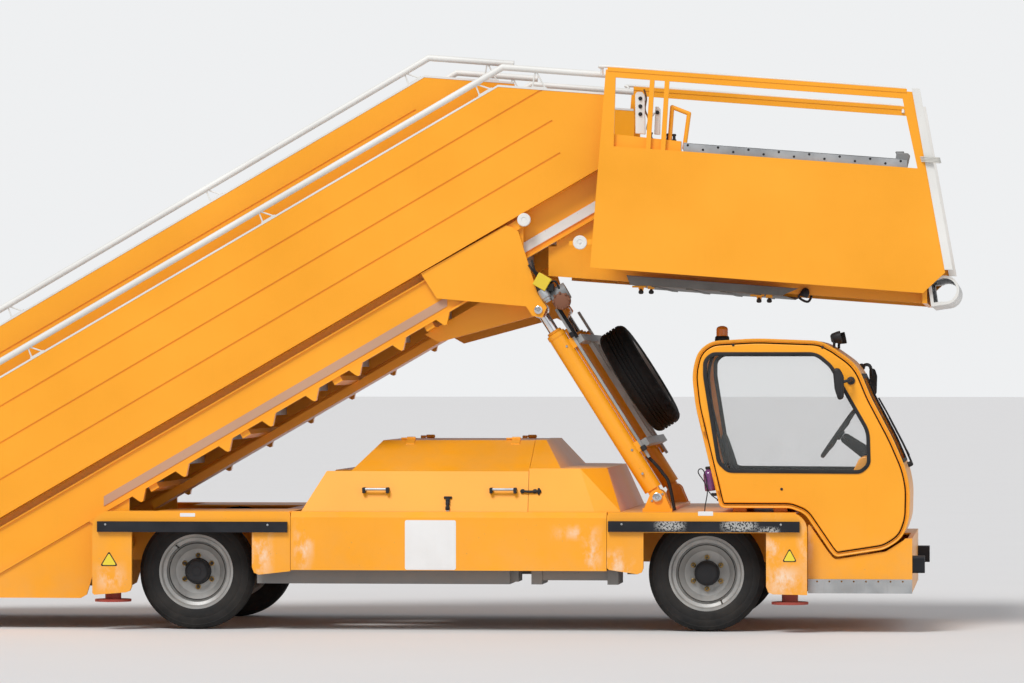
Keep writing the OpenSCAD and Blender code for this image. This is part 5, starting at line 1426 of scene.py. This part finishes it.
class AIRSTAIRS_OT_cab_inside(bpy.types.Operator):
    """Furnish the cab with a low-backed seat, dash, column, steering wheel and pedals"""

    bl_idname = "airstairs.cab_inside"
    bl_label = "Cab interior"

    wheel_centre = (4140, CAB_MID_Y, 1268)

    def execute(self, context):
        for name, rows in (("seat_cushion", ((3470, 905, 230, 40), (3500, 972, 236, 60), (3640, 975, 240, 66),
                                             (3800, 982, 240, 66), (3920, 975, 236, 58),
                                             (3952, 935, 225, 40))),
                           ("seat_back", ((3478, 985, 190, 44), (3452, 1060, 205, 52), (3424, 1150, 205, 50),
                                          (3402, 1225, 190, 42), (3394, 1268, 150, 26)))):
            self.cushion(name, rows)
        mesh = bmesh.new()
        block(mesh, (3500, CAB_MID_Y - 210, 826), (3920, CAB_MID_Y + 210, 868))
        pipe(mesh, ((3470, CAB_MID_Y - 190, 880), (3440, CAB_MID_Y - 190, 1080),
                    (3405, CAB_MID_Y - 150, 1220)), 11)
        pipe(mesh, ((3470, CAB_MID_Y + 190, 880), (3440, CAB_MID_Y + 190, 1080),
                    (3405, CAB_MID_Y + 150, 1220)), 11)
        fitted("seat_frame", mesh, "Black plastic", "chassis", "black_plastic", bevel=6)
        mesh = bmesh.new()
        dash = soft_outline(((4236, 830, 20), (4238, 1010, 40), (4296, 1126, 50), (4420, 1132, 50),
                             (4480, 1010, 40), (4480, 830, 20)), longest=500)
        plate(mesh, dash, -1000, 95)
        fitted("dash", mesh, "Orange enamel", "chassis", "orange_paint", bevel=8)
        self.steering()
        return {"FINISHED"}

    def cushion(self, name, rows):
        mesh = bmesh.new()
        steps = 32
        rings = []
        for i, (x, z, half, thick) in enumerate(rows):
            before, after = rows[max(i - 1, 0)], rows[min(i + 1, len(rows) - 1)]
            ahead = Vector((after[0] - before[0], after[1] - before[1])).normalized()
            across = Vector((-ahead.y, ahead.x))
            ring = []
            for k in range(steps):
                a = 2 * math.pi * k / steps
                side = math.copysign(abs(math.cos(a)) ** 0.45, math.cos(a)) * half
                out = math.copysign(abs(math.sin(a)) ** 0.6, math.sin(a)) * thick * 0.5
                dent = 7 * math.cos(side / half * math.pi) if out > 0 else 0
                ring.append(mesh.verts.new(at(x + across.x * (out + dent), CAB_MID_Y + side,
                                              z + across.y * (out + dent))))
            rings.append(ring)
        for first, second in zip(rings, rings[1:]):
            for k in range(steps):
                n = (k + 1) % steps
                mesh.faces.new((first[k], first[n], second[n], second[k]))
        mesh.faces.new(rings[0])
        mesh.faces.new(rings[-1])
        piece = fitted(name, mesh, "Seat cloth", "chassis", "black_plastic")
        soften = piece.modifiers.new("Soften", "SUBSURF")
        soften.levels = soften.render_levels = 2
        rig.padded(piece, fill=0.8)
        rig.replaces(piece, "cab_interior")

    def steering(self):
        tilt = math.radians(-55)
        axis = Vector((math.sin(tilt), 0, math.cos(tilt)))
        along = Vector((math.cos(tilt), 0, -math.sin(tilt)))
        centre = Vector(self.wheel_centre)
        mesh = bmesh.new()
        ring = [(14 * math.cos(t), 178 + 14 * math.sin(t)) for t in (2 * math.pi * k / 14 for k in range(14))]
        turned(mesh, self.wheel_centre, tuple(axis), ring, 64, closed=True)
        turned(mesh, self.wheel_centre, tuple(axis),
               ((-30, 0), (-30, 30), (-8, 44), (8, 44), (16, 34), (18, 0)), 36)
        for turn in (90, 210, 330):
            out = along * math.cos(math.radians(turn)) + Vector((0, 1, 0)) * math.sin(math.radians(turn))
            pipe(mesh, [tuple(centre + out * d + axis * lift)
                        for d, lift in ((30, -6), (100, -12), (172, 0))], 11, 12)
        fitted("steering_wheel", mesh, "Black plastic", "chassis", "black_plastic")
        mesh = bmesh.new()
        turned(mesh, tuple(centre - axis * 32), tuple(-axis),
               ((0, 0), (0, 24), (20, 34), (120, 40), (230, 46), (230, 0)), 32)
        for side in (-1, 1):
            lever = centre - axis * 70 + Vector((0, side * 30, 0))
            pipe(mesh, (tuple(lever), tuple(lever + Vector((-10, side * 60, 10))),
                        tuple(lever + Vector((-30, side * 130, 20)))), 6, 10)
        for y in (-600, -420, -330):
            block(mesh, (4236, y - 28, 905), (4246, y + 28, 985))
            pipe(mesh, ((4240, y, 940), (4280, y, 1000), (4300, y, 1060)), 8, 10)
        fitted("steering_column", mesh, "Black plastic", "chassis", "black_plastic", bevel=2)


class AIRSTAIRS_OT_cab_outside(bpy.types.Operator):
    """Mount the beacon, work lamps, far mirror and wiper on the cab"""

    bl_idname = "airstairs.cab_outside"
    bl_label = "Cab fittings"

    def execute(self, context):
        foot = (3383, CAB_MID_Y, 1868)
        black, amber = bmesh.new(), bmesh.new()
        turned(black, foot, (0, 0, 1), ((0, 0), (0, 47), (6, 48), (26, 46), (34, 40), (34, 0)), 40)
        turned(amber, (foot[0], foot[1], foot[2] + 34), (0, 0, 1), (
            (0, 0), (0, 37), (8, 39), (14, 37), (22, 39), (30, 37), (38, 38.5), (52, 36), (61, 26), (66, 10),
            (66, 0)), 40)
        fitted("beacon_lens", amber, "Amber lens", "chassis", "black_plastic")
        for y in (NEAR_DOOR_Y + 150, CAB_FAR_Y - 150):
            pipe(black, ((4128, y, 1822), (4128, y, 1850), (4138, y, 1868)), 9, 14)
            pipe(black, ((4112, y - 44, 1886), (4126, y - 46, 1856), (4126, y + 46, 1856),
                         (4112, y + 44, 1886)), 6, 10,
                 curved=False)
            turned(black, (4114, y, 1882), (0.978, 0, 0.208), (
                (-8, 0), (-8, 20), (4, 32), (40, 38), (58, 39), (60, 36), (50, 34), (50, 0)), 36)
        pipe(black, ((4276, 150, 1700), (4300, 190, 1716), (4326, 240, 1704), (4338, 280, 1640)), 11, 14)
        turned(black, (4272, 141, 1700), (0, 1, 0), ((0, 0), (0, 24), (8, 24), (12, 16), (12, 0)), 24)
        housing = soft_outline(((4318, 1690, 28), (4356, 1692, 28), (4372, 1640, 40), (4368, 1520, 26),
                                (4336, 1506, 26), (4322, 1560, 60)), longest=500)
        rows = ((268, 5), (272, 0), (290, 0), (300, 3), (307, 14))
        rings = [[black.verts.new(at(x, y, z)) for x, z in moved_in(housing, inset)] for y, inset in rows]
        for first, second in zip(rings, rings[1:]):
            for i in range(len(housing)):
                j = (i + 1) % len(housing)
                black.faces.new((first[i], first[j], second[j], second[i]))
        black.faces.new(rings[0])
        black.faces.new(rings[-1])
        # wiper: arm, blade and pivot
        turned(black, (4588, -430, 1064), (0.93, 0, 0.37), ((0, 0), (0, 18), (26, 17), (36, 10), (36, 0)), 24)
        pipe(black, ((4614, -430, 1078), (4560, -440, 1200), (4470, -452, 1372)), 7, 12)
        pipe(black, ((4598, -452, 1128), (4540, -455, 1238), (4464, -458, 1386), (4400, -460, 1500)), 6, 10)
        piece = fitted("cab_black_fittings", black, "Black plastic", "chassis", "black_plastic")
        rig.replaces(piece, "cab_fittings")
        mesh = bmesh.new()
        for y in (NEAR_DOOR_Y + 150, CAB_FAR_Y - 150):
            turned(mesh, (4163, y, 1892.5), (0.978, 0, 0.208), ((0, 0), (0, 33), (3, 31), (6, 20), (7, 0)),
                   32)
        fitted("work_lamp_lenses", mesh, "Clear lens", "chassis", "black_plastic")
        return {"FINISHED"}


# The platform's underside and its fittings, and the bare signs

GUARD_TOP = (2716, 3114)
RAIL_TOP = (2677, 3604)


def dipped(x, start):
    """Height at X of a line that falls with the platform from a starting point."""
    return start[1] - (x - start[0]) * math.tan(DIP)


def frame_low(x):
    """Lower edge of the platform's frame."""
    return 2289 - (x - 2270) * 0.075


def sloped_slab(mesh, x_span, y_span, low, high):
    """A closed slab whose lower and upper faces follow two functions of X."""
    outline = [(x_span[0], low(x_span[0])), (x_span[1], low(x_span[1])), (x_span[1], high(x_span[1])),
               (x_span[0], high(x_span[0]))]
    plate(mesh, outline, *y_span)


class AIRSTAIRS_OT_platform_underside(bpy.types.Operator):
    """Weld the cross beams of the platform and hang the grey tray and its catches under them"""

    bl_idname = "airstairs.platform_underside"
    bl_label = "Platform underside"

    span = 857.7

    def execute(self, context):
        mesh = bmesh.new()
        for x in (2420, 3020, 3640, 4280):
            low = frame_low(x) + 20
            block(mesh, (x, -self.span, low), (x + 6, self.span, low + 90))
            for z in (low, low + 84):
                block(mesh, (x + 5.5, -self.span, z), (x + 50, self.span, z + 6))
        block(mesh, (4695, -self.span, frame_low(4725)), (4725, self.span, frame_low(4725) + 190))
        beams = fitted("cross_beams", mesh, "Orange wall enamel", "upper_flight", "orange_paint", bevel=2)
        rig.replaces(beams, "platform_beams")
        tray, knobs, catches = bmesh.new(), bmesh.new(), bmesh.new()
        outline = [(2800, frame_low(2800) + 40), (2822, frame_low(2822) - 16), (3800, frame_low(3800) - 16),
                   (3905, frame_low(3905) + 36)]
        plate(tray, outline, -1020, -1014)
        plate(tray, outline, 1014, 1020)
        sloped_slab(tray, (2822, 3800), (-1016, 1016), lambda x: frame_low(x) - 18,
                    lambda x: frame_low(x) - 14)
        for x in (2960, 3180, 3400, 3620):
            sloped_slab(tray, (x, x + 40), (-1000, 1000), lambda q: frame_low(q) - 24,
                        lambda q: frame_low(q) - 17)
        fitted("underside_tray", tray, "Tray grey", "upper_flight", "machinery", bevel=2)
        for x in (2880, 3640):
            low = frame_low(x) - 20
            block(catches, (x - 50, -930, low - 12), (x + 40, -890, low))
            plate(catches, [(x - 12, low - 11), (x + 26, low - 11), (x + 18, low - 44), (x - 4, low - 40)],
                  -916, -906)
            block(catches, (x + 50, -926, low - 22), (x + 92, -896, low + 2))
            for dx in (6, 72):
                turned(knobs, (x + dx, -911, low - 20), (0, 0, -1),
                       ((0, 0), (0, 7), (8, 9), (14, 16), (26, 17), (33, 12), (35, 0)), 24)
        fitted("tray_catches", catches, "Orange worn enamel", "upper_flight", "orange_paint", bevel=2)
        turned(knobs, (3930, -900, 2150), (0.4, 0, 1),
               ((0, 0), (0, 26), (20, 30), (42, 26), (60, 12), (60, 0)), 28)
        pipe(knobs, ((3940, -900, 2190), (3900, -880, 2150), (3960, -860, 2120), (3990, -820, 2190)), 8, 12)
        fitted("tray_knobs", knobs, "Black plastic", "upper_flight", "black_plastic")
        return {"FINISHED"}


class AIRSTAIRS_OT_guard_fittings(bpy.types.Operator):
    """Cap the sliding guards with white rails and fit the perforated strip and its catch"""

    bl_idname = "airstairs.guard_fittings"
    bl_label = "Guard fittings"

    def execute(self, context):
        for tag, side in (("near", -1), ("far", 1)):
            mesh = bmesh.new()
            pipe(mesh, [(x, side * y, dipped(x, RAIL_TOP) + lift) for x, y, lift in (
                (2650, 1104, -34), (2652, 1112, 6), (2676, 1126, 20), (3200, 1127, 20), (4496, 1127, 20),
                (4522, 1120, 8), (4526, 1106, -30))], 10, 14, per_span=4)
            for x in (2950, 3600, 4250):
                block(mesh, (x - 12, side * 1127 - 5, dipped(x, RAIL_TOP) + 8),
                      (x + 12, side * 1127 + 5, dipped(x, RAIL_TOP) + 20))
            fitted(f"guard_cap_{tag}", mesh, "White enamel", f"guard_{tag}", "white_paint")
        strip, dots = bmesh.new(), bmesh.new()
        sloped_slab(strip, (3171, 4600), (-1106, -1101), lambda x: dipped(x, GUARD_TOP) - 40,
                    lambda x: dipped(x, GUARD_TOP) + 56)
        sloped_slab(strip, (3171, 4600), (-1106, -1088), lambda x: dipped(x, GUARD_TOP) + 52,
                    lambda x: dipped(x, GUARD_TOP) + 57)
        for k in range(15):
            x = 3200 + 97 * k
            turned(dots, (x, -1105.8, dipped(x, GUARD_TOP) + 42 - 22 * (k % 2)), (0, -1, 0),
                   ((0, 0), (0, 8), (2.5, 7), (2.5, 4), (1, 3), (1, 0)), 18)
        fitted("guard_strip", strip, "Galvanised steel", "guard_near", "galvanised", bevel=1)
        fitted("guard_strip_bolts", dots, "Black plastic", "guard_near", "black_plastic")
        mesh = bmesh.new()
        plate(mesh, [(4520, 2970), (4600, 2966), (4618, 3046), (4604, 3062), (4530, 3066)], -1098, -1058)
        block(mesh, (4524, -1090, 3060), (4580, -1064, 3074))
        fitted("guard_stop", mesh, "Machinery grey", "guard_near", "machinery", bevel=6)
        mesh = bmesh.new()
        for k in range(4):
            z = 3006 + 9 * k
            x = 4676 + (3150 - z) * 0.26
            pipe(mesh, ((x, -1166, z), (x + 86, -1168, z - 8), (x + 96, -1130, z - 4), (x + 60, -1080, z),
                        (x - 20, -1076, z + 4), (x - 30, -1120, z + 2), (x, -1166, z)), 4.5, 10)
        fitted("guard_lashing", mesh, "Pale strap", "guard_near", "white_paint")
        return {"FINISHED"}


class AIRSTAIRS_OT_console_fittings(bpy.types.Operator):
    """Set the white posts, the lever and the small push buttons on the platform's console"""

    bl_idname = "airstairs.console_fittings"
    bl_label = "Console fittings"

    def execute(self, context):
        mesh = bmesh.new()
        plate(mesh, [(2862, 3196), (2926, 3190), (2922, 3440), (2906, 3462), (2874, 3464), (2860, 3446)],
              -1078, -1050)
        plate(mesh, [(2982, 3190), (3020, 3188), (3022, 3352), (3008, 3368), (2990, 3368)], -1074, -1046)
        pipe(mesh, ((2940, -1062, 3188), (2944, -1058, 3250), (2962, -1050, 3300), (2984, -1048, 3330)), 7,
             12)
        fitted("console_posts", mesh, "White enamel", "upper_flight", "white_paint", bevel=6)
        mesh = bmesh.new()
        for x, z in ((2894, 3420), (2894, 3370), (2894, 3320), (3003, 3330)):
            turned(mesh, (x, -1077 if x < 2950 else -1073, z), (0, -1, 0),
                   ((0, 0), (0, 13), (6, 13), (9, 10), (13, 9), (14, 0)), 24)
        for x in (2960, 3070, 3110):
            z = dipped(x, GUARD_TOP) + 64
            turned(mesh, (x, -1068, z), (0, 0, 1),
                   ((0, 0), (0, 15), (8, 15), (12, 10), (30, 9), (34, 14), (44, 13), (47, 0)), 24)
        fitted("console_controls", mesh, "Black plastic", "upper_flight", "black_plastic")
        mesh = bmesh.new()
        pipe(mesh, ((2916, -1050, 3480), (2930, -1052, 3420), (2922, -1056, 3350), (2944, -1054, 3290),
                    (2936, -1058, 3230), (2950, -1060, 3190)), 6, 10)
        fitted("console_wiring", mesh, "Track brown", "upper_flight", "black_rubber")
        return {"FINISHED"}


class AIRSTAIRS_OT_bare_signs(bpy.types.Operator):
    """Fix the blank white plate, the blank yellow triangles and the small stickers to the near side"""

    bl_idname = "airstairs.bare_signs"
    bl_label = "Bare signs"

    def execute(self, context):
        mesh = bmesh.new()
        face = -SIDE_Y - 0.3
        outline = arc_points([Vector(p) for p in ((1384, 398), (1713, 398), (1713, 717), (1384, 717))], 14, 4)
        plate(mesh, outline, face - 1.6, face)
        for low, high in (((-76, 735), (22, 758)), ((3268, 750), (3364, 778))):
            outline = arc_points([Vector(p) for p in (low, (high[0], low[1]), high, (low[0], high[1]))], 3, 3)
            plate(mesh, outline, face - 0.8, face)
        fitted("blank_plate_and_stickers", mesh, "Plate white", "chassis", "white_paint")
        black, yellow = bmesh.new(), bmesh.new()
        for x_low, x_high, z_low, z_high in ((-598, -481, 415, 512), (3804, 3899, 457, 546)):
            corners = [Vector((x_low, z_low)), Vector((x_high, z_low)),
                       Vector(((x_low + x_high) / 2, z_high))]
            middle = sum(corners, Vector((0, 0))) / 3
            for mesh, scale, lift, radius in ((black, 1.0, 1.0, 10), (yellow, 0.8, 1.8, 8)):
                shape = arc_points([middle + (c - middle) * scale for c in corners], radius, 5)
                plate(mesh, shape, face - lift, face)
        fitted("triangle_borders", black, "Black plastic", "chassis", "black_plastic")
        fitted("triangle_fields", yellow, "Marker yellow", "chassis", "orange_paint")
        mesh = bmesh.new()
        for x, z in ((-560, 684), (497, 684), (2780, 695), (3797, 695)):
            turned(mesh, (x, -1176, z), (0, -1, 0), ((0, 0), (0, 7), (2, 6), (3, 3), (3, 0)), 20)
        fitted("rub_strip_screws", mesh, "Galvanised steel", "chassis", "galvanised")
        return {"FINISHED"}


class AIRSTAIRS_OT_cab_rear_fittings(bpy.types.Operator):
    """Hang the washer bottle and its cable loop behind the cab"""

    bl_idname = "airstairs.cab_rear_fittings"
    bl_label = "Fittings behind the cab"

    # Route of the free cable, from the cab's rear wall up over its loop and down into the deck
    cable_route = ((3390, -1046, 849), (3374, -1046, 860), (3354, -1046, 875), (3333, -1046, 899),
                   (3317, -1046, 930), (3302, -1046, 962), (3284, -1046, 990), (3268, -1045, 1012),
                   (3262, -1042, 1030), (3271, -1039, 1046), (3289, -1036, 1044), (3301, -1034, 1026),
                   (3309, -1034, 996), (3316, -1034, 958), (3320, -1034, 922), (3320, -1034, 888),
                   (3314, -1034, 850), (3306, -1034, 808), (3303, -1034, 769))
    cable_d = 7

    def execute(self, context):
        mesh = bmesh.new()
        turned(mesh, (3338, -985, 905), (-0.1, 0, 1), (
            (0, 0), (0, 30), (4, 34), (20, 36), (104, 36), (124, 30), (134, 16), (142, 15), (142, 0)), 36)
        fitted("washer_bottle", mesh, "Purple fluid", "chassis", "black_plastic")
        mesh = bmesh.new()
        turned(mesh, (3324, -985, 1045), (-0.1, 0, 1), ((0, 0), (0, 19), (14, 19), (17, 16), (17, 0)), 28)
        block(mesh, (3364, -1010, 935), (3384, -960, 955))
        block(mesh, (3344, -1006, 872), (3378, -984, 892))
        fitted("bottle_cap_and_bracket", mesh, "Black plastic", "chassis", "black_plastic", bevel=2)
        mesh = bmesh.new()
        for end, axis in ((self.cable_route[0], (-0.82, 0, 0.57)), (self.cable_route[-1], (0, 0, 1))):
            turned(mesh, end, axis, ((-2, 0), (-2, 9), (3, 9), (6, 6), (6, 0)), 24)
        fitted("cable_grommets", mesh, "Black rubber", "chassis", "black_rubber")
        mesh = bmesh.new()
        pipe(mesh, self.cable_route, self.cable_d / 2, 12)
        cable = from_bmesh("cab_cable", mesh)
        settle(cable, "Black rubber", "chassis", "black_rubber")
        path = smooth_path([at(*point) for point in self.cable_route])
        length = sum((b - a).length for a, b in zip(path, path[1:]))
        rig.cord(cable, exit=tuple(path[0]), length=length, diameter=self.cable_d / 1000, far_end="object",
                stiffness="limp", lay="hanging", path=[tuple(point) for point in path])
        return {"FINISHED"}


OPERATORS = [value for value in list(globals().values())
             if isinstance(value, type) and issubclass(value, bpy.types.Operator)]


class AIRSTAIRS_PT_panel(bpy.types.Panel):
    """Lists the pieces of the stairs."""

    bl_label = "Aircraft stairs"
    bl_idname = "AIRSTAIRS_PT_panel"
    bl_space_type = "VIEW_3D"
    bl_region_type = "UI"
    bl_category = "Airstairs"

    def draw(self, context):
        column = self.layout.column(align=True)
        for group in (context.scene.airstairs_sizes, context.scene.airstairs_colours):
            for field in group.bl_rna.properties.keys():
                if field not in ("rna_type", "name"):
                    column.prop(group, field)
        for operator in OPERATORS:
            column.operator(operator.bl_idname)


CLASSES = [StairsColours, StairsSizes, *OPERATORS, AIRSTAIRS_PT_panel]


def register():
    for made in CLASSES:
        bpy.utils.register_class(made)
    bpy.types.Scene.airstairs_colours = PointerProperty(type=StairsColours)
    bpy.types.Scene.airstairs_sizes = PointerProperty(type=StairsSizes)


def unregister():
    del bpy.types.Scene.airstairs_sizes
    del bpy.types.Scene.airstairs_colours
    for made in reversed(CLASSES):
        bpy.utils.unregister_class(made)


def main():
    register()
    for operator in OPERATORS:
        getattr(bpy.ops.airstairs, operator.bl_idname.split(".")[1])()
    corners = [[list(corner) for corner in box] for box in (CAD_BOX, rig.bounds())]
    with open("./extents.json", "w") as out:
        json.dump({"cad": corners[0], "visual": corners[1]}, out)


if __name__ == "__main__":
    main()
